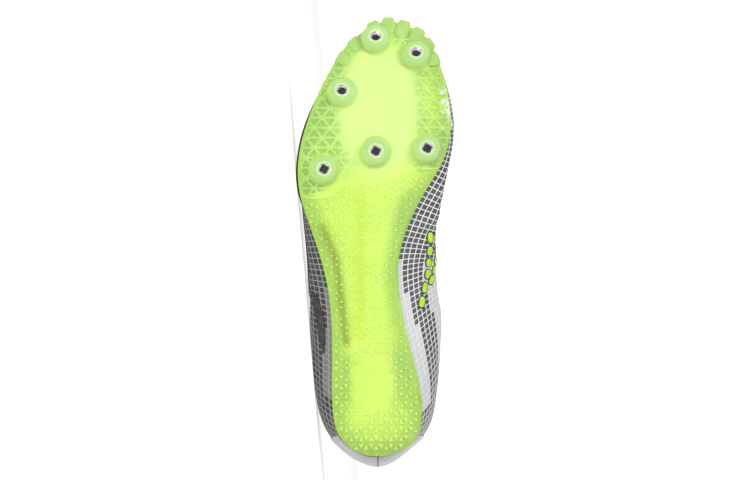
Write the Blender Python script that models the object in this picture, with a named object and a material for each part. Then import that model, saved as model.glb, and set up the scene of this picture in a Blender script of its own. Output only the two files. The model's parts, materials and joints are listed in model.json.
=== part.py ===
"""Track spike shoe for the right foot, lying on its outer side.

The shoe is drawn in its own frame: y runs from heel to toe, x to the outer side and z up
from the ground that the heel pad and the spike bosses would stand on. Ribs are numbered
round the foot: 0 at the back of the heel, 16 at the toe, and the outer side comes first.
At the end the whole shoe is laid on its outer side, toe to -X and sole to -Y.
All lengths are in metres.
"""

import math

import bmesh
import bpy
import numpy as np
from mathutils import Matrix, Vector

# Driving sizes
LENGTH = 0.286
BALL_WIDTH = 0.091
INSTEP_HEIGHT = 0.088
HEEL_HEIGHT = 0.078
TOE_SPRING = 0.028
ARCH_LIFT = 0.0035

# Sole
OUTSOLE_THICK = 0.0024
FOAM_THICK = 0.007
INSOLE_THICK = 0.003
NUB_HEIGHT = 0.001
PLATE_STEP = 0.0006
EDGE_ROUND = 0.0016
EDGE_BAND = 0.004
WAIST_CROWN = 0.0015
WAIST_GROOVE = 0.0008
MIDSOLE_INSET = 0.0015
MIDSOLE_LIP = 0.0012
PAD_LENGTH = 0.036
PAD_WIDTH = 0.026

# Spike bosses, their steel sockets and the teeth round the toe
BOSS_HEIGHT = 0.0045
BOSS_BASE_RADIUS = 0.009
BOSS_FACE_RADIUS = 0.00725
SOCKET_RADIUS = 0.0038
THREAD_RADIUS = 0.0026
SOCKET_LENGTH = 0.0054
TOOTH_REACH = 0.0023
TOOTH_WIDTH = 0.0062
TOOTH_TIP = 0.7
TOOTH_DROP = 0.0006
TOOTH_PITCH = 0.0083

# Upper and what is on it
WALL = 0.0016
COLLAR_PAD = 0.003
FEATHER_INSET = 0.001
COUNTER_THICK = 0.0006
EYESTAY_WIDTH = 0.013
EYESTAY_THICK = 0.0009
TONGUE_THICK = 0.0025
TONGUE_TAIL = 0.028
LACE_WIDTH = 0.0065
LACE_THICK = 0.0012

# Clearance between neighbouring pieces
GAP = 0.0003

# How far inside its hull face the centre of mass has to lie before another face is steadier
STEADY_MARGIN = 0.0005

# Sections of the last at ribs 0 to 16. Each row: distance from the heel as a share of
# LENGTH, then shares of BALL_WIDTH for the sole's edge on the outer and inner side and
# for how far the upper bulges past it, the heights of those bulges over the sole as shares
# of INSTEP_HEIGHT, and how far the midsole's outer edge stands proud as a share of its lip.
SECTION_COLUMNS = (
    "y",
    "outer",
    "inner",
    "bulge_outer",
    "bulge_inner",
    "rise_outer",
    "rise_inner",
    "lip",
)
SECTIONS = (
    (0.031, 0.000, 0.000, 0.097, 0.097, 0.284, 0.284, 0),
    (0.038, 0.121, 0.116, 0.077, 0.066, 0.284, 0.284, 0),
    (0.061, 0.225, 0.232, 0.066, 0.044, 0.260, 0.284, 0),
    (0.101, 0.295, 0.295, 0.087, 0.077, 0.210, 0.284, 0),
    (0.175, 0.314, 0.291, 0.125, 0.130, 0.165, 0.284, 0),
    (0.280, 0.314, 0.213, 0.149, 0.242, 0.150, 0.318, 0),
    (0.378, 0.334, 0.152, 0.145, 0.271, 0.150, 0.290, 0),
    (0.462, 0.393, 0.143, 0.100, 0.270, 0.145, 0.235, 0),
    (0.538, 0.473, 0.212, 0.040, 0.208, 0.120, 0.155, 0.3),
    (0.608, 0.538, 0.321, -0.006, 0.138, 0.090, 0.100, 1),
    (0.678, 0.546, 0.448, -0.007, 0.051, 0.074, 0.074, 1),
    (0.745, 0.503, 0.499, -0.003, 0.029, 0.074, 0.074, 1),
    (0.811, 0.430, 0.489, 0.003, 0.018, 0.080, 0.080, 0.6),
    (0.871, 0.344, 0.449, 0.003, 0.007, 0.085, 0.085, 0),
    (0.923, 0.245, 0.393, 0.002, 0.002, 0.080, 0.080, 0),
    (0.963, 0.119, 0.297, 0.000, 0.000, 0.068, 0.068, 0),
    (0.989, -0.071, 0.071, 0.000, 0.000, 0.057, 0.057, 0),
)

# The top edge at the same ribs: the collar to rib 6, then the throat. Each row: distance
# from the heel as a share of LENGTH, half widths as shares of BALL_WIDTH, height as a
# share of HEEL_HEIGHT plus one of INSTEP_HEIGHT, the upper's slope there in degrees and
# how full the curve up to it is.
TOP_COLUMNS = ("y", "outer", "inner", "by_heel", "by_instep", "slope", "fullness")
TOP_EDGE = (
    (0.0245, 0.000, 0.000, 1.000, 0.000, 90, 0.36),
    (0.0297, 0.121, 0.121, 0.995, 0.000, 90, 0.36),
    (0.0524, 0.225, 0.225, 0.968, 0.000, 90, 0.36),
    (0.101, 0.319, 0.313, 0.897, 0.000, 90, 0.36),
    (0.178, 0.421, 0.360, 0.814, 0.000, 90, 0.36),
    (0.273, 0.464, 0.372, 0.400, 0.350, 90, 0.36),
    (0.353, 0.385, 0.335, 0.000, 0.807, 66, 0.42),
    (0.409, 0.214, 0.242, 0.000, 0.943, 45, 0.50),
    (0.458, 0.165, 0.198, 0.000, 0.915, 38, 0.55),
    (0.517, 0.143, 0.170, 0.000, 0.835, 34, 0.58),
    (0.570, 0.121, 0.143, 0.000, 0.761, 30, 0.60),
    (0.612, 0.097, 0.115, 0.000, 0.705, 24, 0.60),
    (0.640, 0.068, 0.082, 0.000, 0.677, 18, 0.62),
    (0.654, 0.042, 0.051, 0.000, 0.666, 14, 0.62),
    (0.661, 0.022, 0.029, 0.000, 0.660, 11, 0.62),
    (0.663, 0.009, 0.014, 0.000, 0.659, 9, 0.62),
    (0.6636, -0.003, 0.003, 0.000, 0.659, 8, 0.62),
)

# The sole from the side. Each row: distance from the heel as a share of LENGTH, then
# shares of the stand on the bosses, of ARCH_LIFT, of TOE_SPRING and of FOAM_THICK.
PROFILE_COLUMNS = ("y", "stand", "arch", "spring", "foam")
PROFILE = (
    (0.031, 0.00, 0.00, 0.15, 1.00),
    (0.049, 0.00, 0.00, 0.06, 1.00),
    (0.077, 0.00, 0.00, 0.00, 1.00),
    (0.252, 0.00, 0.00, 0.00, 1.00),
    (0.343, 0.30, 0.35, 0.00, 0.93),
    (0.427, 0.60, 0.95, 0.00, 0.80),
    (0.510, 0.85, 1.00, 0.00, 0.60),
    (0.587, 1.00, 0.35, 0.00, 0.48),
    (0.650, 1.00, 0.00, 0.00, 0.43),
    (0.713, 1.00, 0.00, 0.03, 0.43),
    (0.776, 1.00, 0.00, 0.12, 0.40),
    (0.839, 1.00, 0.00, 0.29, 0.38),
    (0.902, 1.00, 0.00, 0.52, 0.36),
    (0.951, 1.00, 0.00, 0.72, 0.36),
    (1.000, 1.00, 0.00, 0.94, 0.36),
)

# Bosses: x as a share of BALL_WIDTH, y as a share of LENGTH
BOSSES = (
    (0.015, 0.948),
    (-0.265, 0.912),
    (0.247, 0.828),
    (0.369, 0.658),
    (0.014, 0.697),
    (-0.338, 0.703),
)
HEEL_PAD = (0.048, 0.188)

# Where the plate takes over from the rubber outsole, as ribs on the outer and inner side
PLATE_START = (8.90, 9.75)

# Lace bars, as distances from the heel in shares of LENGTH
LACE_BARS = (0.423, 0.463, 0.504, 0.544, 0.580, 0.615)

# Ribs and levels up the upper. Levels 0 to 8 share the height below the eyestay, and
# levels 9 to 11 split the eyestay's width, so that every overlay keeps to the same facets.
TOE_RIB = 16
RIB_COUNT = 2 * TOE_RIB
LEVEL_SHARES = (0, 0.06, 0.14, 0.24, 0.36, 0.50, 0.66, 0.83, 1)
BAND_STEPS = 3
EYESTAY_LEVEL = len(LEVEL_SHARES) - 1
TOP_LEVEL = EYESTAY_LEVEL + BAND_STEPS
THROAT_RIB = 7
TONGUE_TAIL_ROWS = ((1.0, 0.36), (0.88, 0.50), (0.6, 0.57), (0.3, 0.58))
TONGUE_TAIL_WAY = (0, -0.45, 0.89)
COUNTER_RIB = 2.5
COUNTER_LEVELS = (1, 6)
COLLAR_RIBS = (5.3, 6.5)
COLLAR_LEVELS = (6.5, 9.5)
BULGE_LEAN = 1.5
BULGE_RISE = 0.5
LINE_STEPS = 24
SMALL_STEP = 0.02

# Densities in kg per cubic metre, for where the shoe balances
DENSITY = {
    "lime plate": 1100,
    "lime rubber": 1200,
    "foam": 300,
    "lining": 300,
    "ripstop": 300,
    "film": 1100,
    "steel": 7850,
    "lace": 300,
}

TRANSLUCENT_PLATE = (0.62, 0.95, 0.12)
TRANSLUCENT_RUBBER = (0.55, 0.88, 0.10)
FOAM_WHITE = (0.72, 0.72, 0.70)
LINING_GREY = (0.20, 0.20, 0.21)
RIPSTOP_GREY = (0.38, 0.38, 0.41)
FILM_GREY = (0.55, 0.55, 0.58)
STEEL = (0.62, 0.63, 0.64)
LACE_LIME = (0.66, 0.92, 0.16)


def smooth_step(value, low, high):
    share = np.clip((value - low) / (high - low), 0, 1)
    return share * share * (3 - 2 * share)


def hermite(start, start_slope, end, end_slope, share):
    return (
        start * (1 + 2 * share) * (1 - share) ** 2
        + start_slope * share * (1 - share) ** 2
        + end * share**2 * (3 - 2 * share)
        + end_slope * share**2 * (share - 1)
    )


def loop_curve(knots):
    """A smooth closed curve through one value per rib, read at any rib number."""
    knots = np.asarray(knots, float)
    unit = np.eye(len(knots))
    ties = 4 * unit + np.roll(unit, 1, axis=0) + np.roll(unit, -1, axis=0)
    slopes = np.linalg.solve(ties, 3 * (np.roll(knots, -1) - np.roll(knots, 1)))

    def value(rib):
        rib = np.asarray(rib, float) % len(knots)
        low = np.floor(rib).astype(int) % len(knots)
        high = (low + 1) % len(knots)
        return hermite(knots[low], slopes[low], knots[high], slopes[high], rib - np.floor(rib))

    return value


def rising_curve(places, values):
    """A smooth curve through the values that never overshoots them."""
    places = np.asarray(places, float)
    values = np.asarray(values, float)
    steps = np.diff(places)
    slopes = np.diff(values) / steps
    tangents = np.zeros(len(values))
    for i in range(1, len(slopes)):
        if slopes[i - 1] * slopes[i] > 0:
            tangents[i] = 2 * slopes[i - 1] * slopes[i] / (slopes[i - 1] + slopes[i])
    tangents[0] = slopes[0]
    tangents[-1] = slopes[-1]

    def value(place):
        place = np.clip(place, places[0], places[-1])
        low = np.clip(np.searchsorted(places, place) - 1, 0, len(steps) - 1)
        share = (place - places[low]) / steps[low]
        return hermite(
            values[low],
            tangents[low] * steps[low],
            values[low + 1],
            tangents[low + 1] * steps[low],
            share,
        )

    return value


def column(table, names, name):
    return np.array([row[names.index(name)] for row in table], float)


def round_the_foot(outer, inner):
    """Ribs 0 to 16 from the outer values, and the rest back to the heel from the inner."""
    return loop_curve(np.concatenate([outer, inner[-2:0:-1]]))


def section(outer_name, inner_name):
    outer = column(SECTIONS, SECTION_COLUMNS, outer_name)
    return round_the_foot(outer, column(SECTIONS, SECTION_COLUMNS, inner_name))


def top_edge(outer_name, inner_name):
    outer = column(TOP_EDGE, TOP_COLUMNS, outer_name)
    return round_the_foot(outer, column(TOP_EDGE, TOP_COLUMNS, inner_name))


def profile(name):
    return rising_curve(
        column(PROFILE, PROFILE_COLUMNS, "y"), column(PROFILE, PROFILE_COLUMNS, name)
    )


OUTLINE_Y = section("y", "y")
OUTLINE_X = round_the_foot(
    column(SECTIONS, SECTION_COLUMNS, "outer"), -column(SECTIONS, SECTION_COLUMNS, "inner")
)
BULGE = section("bulge_outer", "bulge_inner")
BULGE_RISES = section("rise_outer", "rise_inner")
LIP = round_the_foot(column(SECTIONS, SECTION_COLUMNS, "lip"), np.zeros(len(SECTIONS)))
TOP_Y = top_edge("y", "y")
TOP_X = round_the_foot(
    column(TOP_EDGE, TOP_COLUMNS, "outer"), -column(TOP_EDGE, TOP_COLUMNS, "inner")
)
TOP_BY_HEEL = top_edge("by_heel", "by_heel")
TOP_BY_INSTEP = top_edge("by_instep", "by_instep")
TOP_SLOPE = top_edge("slope", "slope")
TOP_FULLNESS = top_edge("fullness", "fullness")
STAND = profile("stand")
ARCH = profile("arch")
SPRING = profile("spring")
FOAM = profile("foam")


def outline(rib):
    """The sole's edge in plan, and the direction straight out from it."""
    rib = np.asarray(rib, float)
    edge = np.stack([OUTLINE_X(rib) * BALL_WIDTH, OUTLINE_Y(rib) * LENGTH], axis=-1)
    ahead = np.stack(
        [
            (OUTLINE_X(rib + SMALL_STEP) - OUTLINE_X(rib - SMALL_STEP)) * BALL_WIDTH,
            (OUTLINE_Y(rib + SMALL_STEP) - OUTLINE_Y(rib - SMALL_STEP)) * LENGTH,
        ],
        axis=-1,
    )
    ahead /= np.linalg.norm(ahead, axis=-1, keepdims=True)
    return edge, np.stack([ahead[..., 1], -ahead[..., 0]], axis=-1)


def clearance(y):
    """Height of the plate's underside over the ground. The rubber lies PLATE_STEP higher."""
    share = y / LENGTH
    return (
        NUB_HEIGHT
        + STAND(share) * (BOSS_HEIGHT - NUB_HEIGHT)
        + ARCH(share) * ARCH_LIFT
        + SPRING(share) * TOE_SPRING
    )


def outsole_top(y):
    return clearance(y) + OUTSOLE_THICK


def midsole_top(y):
    return outsole_top(y) + GAP + FOAM(y / LENGTH) * FOAM_THICK


def inside_floor(y):
    return midsole_top(y) + GAP


def rib_lines(rib):
    """The upper's outer face along each rib, from its feather edge over the bulge to the top."""
    rib = np.atleast_1d(np.asarray(rib, float))
    edge, out = outline(rib)
    foot = np.column_stack([edge - out * FEATHER_INSET, inside_floor(edge[:, 1])])
    bulge = BULGE(rib) * BALL_WIDTH
    rise = BULGE_RISES(rib) * INSTEP_HEIGHT
    widest = np.column_stack([edge + out * bulge[:, None], foot[:, 2] + rise])
    top_z = TOP_BY_HEEL(rib) * HEEL_HEIGHT + TOP_BY_INSTEP(rib) * INSTEP_HEIGHT
    top = np.column_stack([TOP_X(rib) * BALL_WIDTH, TOP_Y(rib) * LENGTH, top_z])
    flare = np.column_stack([out * np.abs(bulge)[:, None] * BULGE_LEAN, rise * BULGE_RISE])
    inward = top[:, :2] - widest[:, :2]
    reach = np.linalg.norm(inward, axis=1)
    climb = top[:, 2] - widest[:, 2]
    pull = 3 * TOP_FULLNESS(rib)
    slope = np.radians(TOP_SLOPE(rib))
    landing = pull * (np.cos(slope) * reach + np.sin(slope) * climb)
    upward = np.zeros_like(widest)
    upward[:, 2] = pull * climb
    arrival = np.column_stack(
        [inward / reach[:, None] * (np.cos(slope) * landing)[:, None], np.sin(slope) * landing]
    )
    share = np.linspace(0, 1, LINE_STEPS + 1)[None, :, None]
    to_widest = np.zeros_like(widest)
    to_widest[:, 2] = rise
    low = hermite(foot[:, None], flare[:, None], widest[:, None], to_widest[:, None], share)
    high = hermite(widest[:, None], upward[:, None], top[:, None], arrival[:, None], share)
    return np.concatenate([low, high[:, 1:]], axis=1)


def upper_points(rib, level):
    """Points of the upper's outer face, one row per rib and one column per level."""
    level = np.clip(np.atleast_1d(np.asarray(level, float)), 0, TOP_LEVEL)
    lines = rib_lines(rib)
    points = np.empty((len(lines), len(level), 3))
    for i, line in enumerate(lines):
        run = np.concatenate([[0], np.cumsum(np.linalg.norm(np.diff(line, axis=0), axis=1))])
        below = run[-1] - EYESTAY_WIDTH
        marks = np.concatenate(
            [
                np.array(LEVEL_SHARES) * below,
                below + EYESTAY_WIDTH * np.arange(1, BAND_STEPS + 1) / BAND_STEPS,
            ]
        )
        place = np.interp(level, np.arange(len(marks)), marks)
        for axis in range(3):
            points[i, :, axis] = np.interp(place, run, line[:, axis])
    return points


def upper_surface(rib, level):
    """Points of the upper's outer face and the directions straight out of it."""
    rib = np.atleast_1d(np.asarray(rib, float))
    level = np.atleast_1d(np.asarray(level, float))
    along = upper_points(rib + SMALL_STEP, level) - upper_points(rib - SMALL_STEP, level)
    up = upper_points(rib, level + SMALL_STEP) - upper_points(rib, level - SMALL_STEP)
    out = np.cross(along, up)
    out /= np.linalg.norm(out, axis=2, keepdims=True)
    return upper_points(rib, level), out


def rib_distance(rib):
    """How many ribs lie between this one and the back of the heel."""
    rib = np.asarray(rib, float) % RIB_COUNT
    return np.minimum(rib, RIB_COUNT - rib)


def wall_at(rib, level):
    """The upper's thickness: WALL, and more in the padded collar, which thins to its rim."""
    round_collar = 1 - smooth_step(rib_distance(rib), *COLLAR_RIBS)
    up_collar = smooth_step(level, *COLLAR_LEVELS)
    rim = 1 - 0.5 * smooth_step(level, TOP_LEVEL - 1, TOP_LEVEL)
    return WALL + COLLAR_PAD * np.outer(round_collar, up_collar * rim)


def material(name, colour, roughness, metallic=0.0):
    finish = bpy.data.materials.new(name)
    finish.use_nodes = True
    shader = finish.node_tree.nodes["Principled BSDF"]
    shader.inputs["Base Color"].default_value = (*colour, 1)
    shader.inputs["Roughness"].default_value = roughness
    shader.inputs["Metallic"].default_value = metallic
    return finish


def solid(name, low, high, finish, loop=False, open_end=False):
    """A closed body between two faces given as rows of points.

    With loop set the last row joins the first. With open_end set the last row is folded
    onto itself, so it needs no wall.
    """
    rows, columns = low.shape[:2]
    body = bmesh.new()
    first = [[body.verts.new(point) for point in row] for row in low]
    second = [[body.verts.new(point) for point in row] for row in high]
    for i in range(rows if loop else rows - 1):
        after = (i + 1) % rows
        for j in range(columns - 1):
            body.faces.new((first[i][j], first[after][j], first[after][j + 1], first[i][j + 1]))
            body.faces.new(
                (second[i][j], second[i][j + 1], second[after][j + 1], second[after][j])
            )
        for j in (0, columns - 1):
            body.faces.new((first[i][j], second[i][j], second[after][j], first[after][j]))
    ends = () if loop else (0,) if open_end else (0, rows - 1)
    for i in ends:
        for j in range(columns - 1):
            body.faces.new((first[i][j], first[i][j + 1], second[i][j + 1], second[i][j]))
    bmesh.ops.remove_doubles(body, verts=body.verts, dist=1e-6)
    bmesh.ops.recalc_face_normals(body, faces=body.faces)
    return piece(name, body, finish)


def piece(name, body, finish):
    mesh = bpy.data.meshes.new(name)
    body.to_mesh(mesh)
    body.free()
    mesh.shade_smooth()
    mesh.set_sharp_from_angle(angle=math.radians(35))
    mesh.materials.append(finish)
    made = bpy.data.objects.new(name, mesh)
    bpy.context.scene.collection.objects.link(made)
    return made


def across(outer_ribs, inner_ribs, inset, interior, shift=0.0):
    """Plan points of a sole piece: rows from its outer to its inner edge, and each
    point's place across, from -1 to 1. Both edges get close columns for their rounding."""
    outer_ribs = np.asarray(outer_ribs, float)
    inner_ribs = RIB_COUNT - np.asarray(inner_ribs, float)
    outer_edge, outer_out = outline(outer_ribs)
    inner_edge, inner_out = outline(inner_ribs)
    outer_edge = outer_edge - outer_out * inset(outer_ribs)[:, None]
    inner_edge = inner_edge - inner_out * inset(inner_ribs)[:, None]
    width = np.linalg.norm(inner_edge - outer_edge, axis=1)
    band = np.minimum(EDGE_BAND, 0.3 * width) / np.maximum(width, 1e-9)
    near = np.outer(band, (0, 0.35))
    middle = band[:, None] + (1 - 2 * band[:, None]) * np.linspace(0, 1, interior)[None]
    share = np.concatenate([near, middle, 1 - near[:, ::-1]], axis=1)[..., None]
    points = outer_edge[:, None] * (1 - share) + inner_edge[:, None] * share
    points[..., 1] += shift * np.linspace(0, 1, len(points))[:, None] ** 8
    return points, 1 - 2 * share[..., 0]


def edge_distance(points):
    """How far plan points lie from the sole's edge."""
    edge, _ = outline(np.arange(0, RIB_COUNT, 0.1))
    flat = points.reshape(-1, 1, 2)
    ahead = np.roll(edge, -1, axis=0) - edge
    share = np.clip(((flat - edge) * ahead).sum(2) / (ahead**2).sum(1), 0, 1)
    nearest = np.linalg.norm(flat - edge - share[..., None] * ahead, axis=2).min(axis=1)
    return nearest.reshape(points.shape[:2])


def rounding(points):
    share = np.clip(1 - edge_distance(points) / EDGE_BAND, 0, 1)
    return EDGE_ROUND * share**2


def with_height(points, height):
    return np.concatenate([points, height[..., None]], axis=2)


def no_inset(rib):
    return np.zeros(np.shape(rib))


def helper(name, body, purpose):
    """A wire-drawn operand for a Boolean, kept out of the shoe."""
    mesh = bpy.data.meshes.new(name)
    body.to_mesh(mesh)
    body.free()
    made = bpy.data.objects.new(name, mesh)
    made.hide_render = True
    made.display_type = "WIRE"
    purpose.objects.link(made)
    return made


def helper_group(name):
    group = bpy.data.collections.new(name)
    bpy.context.scene.collection.children.link(group)
    return group


def boolean(owner, operation, group):
    step = owner.modifiers.new(group.name, "BOOLEAN")
    step.operation = operation
    step.operand_type = "COLLECTION"
    step.collection = group


def make_outsole(finish):
    outer = np.concatenate([[0, 0.5], np.linspace(1, PLATE_START[0], 18)])
    inner = np.concatenate([[0, 0.5], np.linspace(1, PLATE_START[1], 18)])
    points, place = across(outer, inner, no_inset, 9, shift=-GAP / 2)
    y = points[..., 1]
    waist = smooth_step(y / LENGTH, 0.30, 0.42) * (1 - smooth_step(y / LENGTH, 0.54, 0.62))
    crown = WAIST_CROWN * (1 - place**2)
    groove = WAIST_GROOVE * np.exp(-(((np.abs(place) - 0.72) / 0.14) ** 2))
    step = STAND(y / LENGTH) * PLATE_STEP
    under = clearance(y) + step + rounding(points) + waist * (groove - crown)
    made = solid("outsole", with_height(points, under), with_height(points, outsole_top(y)), finish)
    group = helper_group("heel pad")
    pad = bmesh.new()
    depth = NUB_HEIGHT + OUTSOLE_THICK / 2
    bmesh.ops.create_cone(pad, cap_ends=True, segments=28, radius1=0.5, radius2=0.56, depth=depth)
    bmesh.ops.transform(
        pad,
        matrix=Matrix.Translation((HEEL_PAD[0] * BALL_WIDTH, HEEL_PAD[1] * LENGTH, depth / 2))
        @ Matrix.Diagonal((PAD_WIDTH, PAD_LENGTH, 1, 1)),
        verts=pad.verts,
    )
    helper("heel pad form", pad, group)
    boolean(made, "UNION", group)
    return made


def boss_frame(boss):
    """Where a boss's axis leaves the plate's underside, and the way up along it."""
    x = boss[0] * BALL_WIDTH
    y = boss[1] * LENGTH
    rise = (clearance(y + 0.001) - clearance(y - 0.001)) / 0.002
    up = Vector((0, -rise, 1)).normalized()
    return Vector((x, y, float(clearance(y)))), up


def along_axis(foot, up, offset):
    turn = Vector((0, 0, 1)).rotation_difference(up)
    return Matrix.Translation(foot + up * offset) @ turn.to_matrix().to_4x4()


def tooth_ribs():
    """Ribs where the teeth stand, a pitch apart round the toe."""
    ribs = np.linspace(TOE_RIB - 4, TOE_RIB + 4, 401)
    edge, _ = outline(ribs)
    run = np.concatenate([[0], np.cumsum(np.linalg.norm(np.diff(edge, axis=0), axis=1))])
    middle = np.interp(TOE_RIB, ribs, run)
    return np.interp(middle + TOOTH_PITCH * np.arange(-6, 6), run, ribs)


def tooth_form(rib):
    """A flat wedge across the plate's edge, narrower at its tip."""
    edge, out = outline(rib)
    along = np.array([-out[1], out[0]])
    body = bmesh.new()
    rings = []
    for drop, top in ((TOOTH_DROP, False), (-OUTSOLE_THICK * 0.75, True)):
        ring = []
        for reach, width in ((-0.003, 1), (TOOTH_REACH, TOOTH_TIP)):
            for side in (-1, 1):
                plan = edge + out * reach + along * side * width * TOOTH_WIDTH / 2
                lift = EDGE_ROUND / 2 if not top else 0
                height = float(clearance(plan[1])) - drop + lift
                ring.append(body.verts.new((plan[0], plan[1], height)))
        rings.append([ring[0], ring[1], ring[3], ring[2]])
    body.faces.new(rings[0])
    body.faces.new(rings[1])
    for i in range(4):
        j = (i + 1) % 4
        body.faces.new((rings[0][i], rings[0][j], rings[1][j], rings[1][i]))
    bmesh.ops.recalc_face_normals(body, faces=body.faces)
    return body


def make_plate(finish):
    outer = np.concatenate([np.linspace(PLATE_START[0], 15, 16), [15.5, 16]])
    inner = np.concatenate([np.linspace(PLATE_START[1], 15, 16), [15.5, 16]])
    points, _ = across(outer[::-1], inner[::-1], no_inset, 10, shift=GAP / 2)
    y = points[..., 1]
    under = clearance(y) + rounding(points)
    top = outsole_top(y)
    made = solid("spike_plate", with_height(points, under), with_height(points, top), finish)
    added = helper_group("bosses and teeth")
    for number, boss in enumerate(BOSSES, 1):
        foot, up = boss_frame(boss)
        root = OUTSOLE_THICK / 2
        form = bmesh.new()
        bmesh.ops.create_cone(
            form,
            cap_ends=True,
            segments=20,
            radius1=BOSS_FACE_RADIUS,
            radius2=BOSS_BASE_RADIUS,
            depth=BOSS_HEIGHT + root,
            matrix=along_axis(foot, up, (root - BOSS_HEIGHT) / 2),
        )
        helper(f"boss {number}", form, added)
    for number, rib in enumerate(tooth_ribs(), 1):
        helper(f"tooth {number}", tooth_form(rib), added)
    boolean(made, "UNION", added)
    removed = helper_group("socket holes")
    for number, boss in enumerate(BOSSES, 1):
        foot, up = boss_frame(boss)
        depth = SOCKET_LENGTH + 2 * GAP
        form = bmesh.new()
        bmesh.ops.create_cone(
            form,
            cap_ends=True,
            segments=16,
            radius1=SOCKET_RADIUS + GAP,
            radius2=SOCKET_RADIUS + GAP,
            depth=2 * depth,
            matrix=along_axis(foot, up, -BOSS_HEIGHT),
        )
        helper(f"socket hole {number}", form, removed)
    boolean(made, "DIFFERENCE", removed)
    return made


def make_socket(number, boss, finish):
    """A threaded steel sleeve, open at both ends."""
    foot, up = boss_frame(boss)
    angles = np.linspace(0, 2 * math.pi, 16, endpoint=False)
    ring = np.column_stack([np.cos(angles), np.sin(angles)])
    corners = ((1, 0), (1, 1), (0, 1), (0, 0))
    body = bmesh.new()
    loops = []
    for is_outer, is_high in corners:
        radius = SOCKET_RADIUS if is_outer else THREAD_RADIUS
        height = SOCKET_LENGTH if is_high else 0
        loops.append([body.verts.new((x * radius, y * radius, height)) for x, y in ring])
    for k, loop in enumerate(loops):
        after = loops[(k + 1) % len(loops)]
        for i in range(len(loop)):
            j = (i + 1) % len(loop)
            body.faces.new((loop[i], loop[j], after[j], after[i]))
    bmesh.ops.recalc_face_normals(body, faces=body.faces)
    bmesh.ops.transform(body, matrix=along_axis(foot, up, GAP - BOSS_HEIGHT), verts=body.verts)
    return piece(f"socket_{number}", body, finish)


def make_midsole(finish):
    ribs = np.concatenate([[0, 0.5], np.linspace(1, 15, 25), [15.5, 16]])

    def inset(rib):
        return MIDSOLE_INSET - (MIDSOLE_INSET + MIDSOLE_LIP) * LIP(rib)

    points, _ = across(ribs, ribs, inset, 3)
    y = points[..., 1]
    low = with_height(points, outsole_top(y) + GAP)
    return solid("midsole", low, with_height(points, midsole_top(y)), finish)


def make_insole(finish):
    ribs = np.concatenate([[0, 0.5], np.linspace(1, 15, 21), [15.5, 16]])

    def inset(rib):
        return np.full(np.shape(rib), FEATHER_INSET + WALL + 2 * GAP)

    points, _ = across(ribs, ribs, inset, 3)
    y = points[..., 1]
    low = with_height(points, inside_floor(y))
    return solid("insole", low, with_height(points, inside_floor(y) + INSOLE_THICK), finish)


def make_upper(finish):
    ribs = np.arange(0, RIB_COUNT, 0.5)
    levels = np.arange(TOP_LEVEL + 1)
    outer, out = upper_surface(ribs, levels)
    inner = outer - out * wall_at(ribs, levels)[..., None]
    return solid("upper", inner, outer, finish, loop=True)


def overlay(name, ribs, levels, thick, finish):
    """A layer laid GAP above the upper, on the upper's own facets."""
    points, out = upper_surface(ribs, levels)
    return solid(name, points + out * GAP, points + out * (GAP + thick), finish)


def make_eyestay(finish):
    ribs = np.arange(THROAT_RIB, RIB_COUNT - THROAT_RIB + 0.5, 0.5)
    levels = np.arange(EYESTAY_LEVEL, TOP_LEVEL + 1)
    return overlay("eyestay", ribs, levels, EYESTAY_THICK, finish)


def make_heel_counter(finish):
    ribs = np.arange(-COUNTER_RIB, COUNTER_RIB + 0.5, 0.5)
    levels = np.arange(COUNTER_LEVELS[0], COUNTER_LEVELS[1] + 1)
    return overlay("heel_counter", ribs, levels, COUNTER_THICK, finish)


def bridge(outer_line, inner_line, count):
    """Points over the throat, leaving the outer line's end smoothly and meeting the inner's."""
    span = np.linalg.norm(inner_line[-1] - outer_line[-1])
    leave = outer_line[-1] - outer_line[-2]
    meet = inner_line[-2] - inner_line[-1]
    leave = leave / np.linalg.norm(leave) * span
    meet = meet / np.linalg.norm(meet) * span
    share = np.linspace(0, 1, count + 2)[1:-1, None]
    return hermite(outer_line[-1], leave, inner_line[-1], meet, share)


def throat_row(rib, levels, offset, count):
    """One line across the throat at a rib: up the outer side, over, and down the inner."""
    sides = []
    for side in (rib, RIB_COUNT - rib):
        points, out = upper_surface(side, levels)
        depth = wall_at([side], levels)[0, :, None] if offset < 0 else 0
        sides.append(points[0] + out[0] * (offset - depth))
    outer_line, inner_line = sides
    over = bridge(outer_line, inner_line, count)
    return np.concatenate([outer_line, over, inner_line[::-1]])


def make_tongue(finish):
    levels = np.arange(EYESTAY_LEVEL, TOP_LEVEL + 1)
    ribs = np.arange(THROAT_RIB, TOE_RIB + 0.5, 0.5)
    sheets = []
    for offset in (-GAP, -(GAP + TONGUE_THICK)):
        rows = [throat_row(rib, levels, offset, 5) for rib in ribs]
        first = rows[0]
        middle = first[len(first) // 2]
        tail = []
        for share, width in TONGUE_TAIL_ROWS:
            narrowed = middle + (first - middle) * width
            tail.append(narrowed + np.array(TONGUE_TAIL_WAY) * TONGUE_TAIL * share)
        sheets.append(np.array(tail + rows))
    return solid("tongue", sheets[1], sheets[0], finish, open_end=True)


def rib_at(y):
    """The throat rib whose top edge lies this far from the heel."""
    ribs = np.linspace(THROAT_RIB, TOE_RIB - 2, 200)
    return float(np.interp(y, TOP_Y(ribs), ribs))


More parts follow.
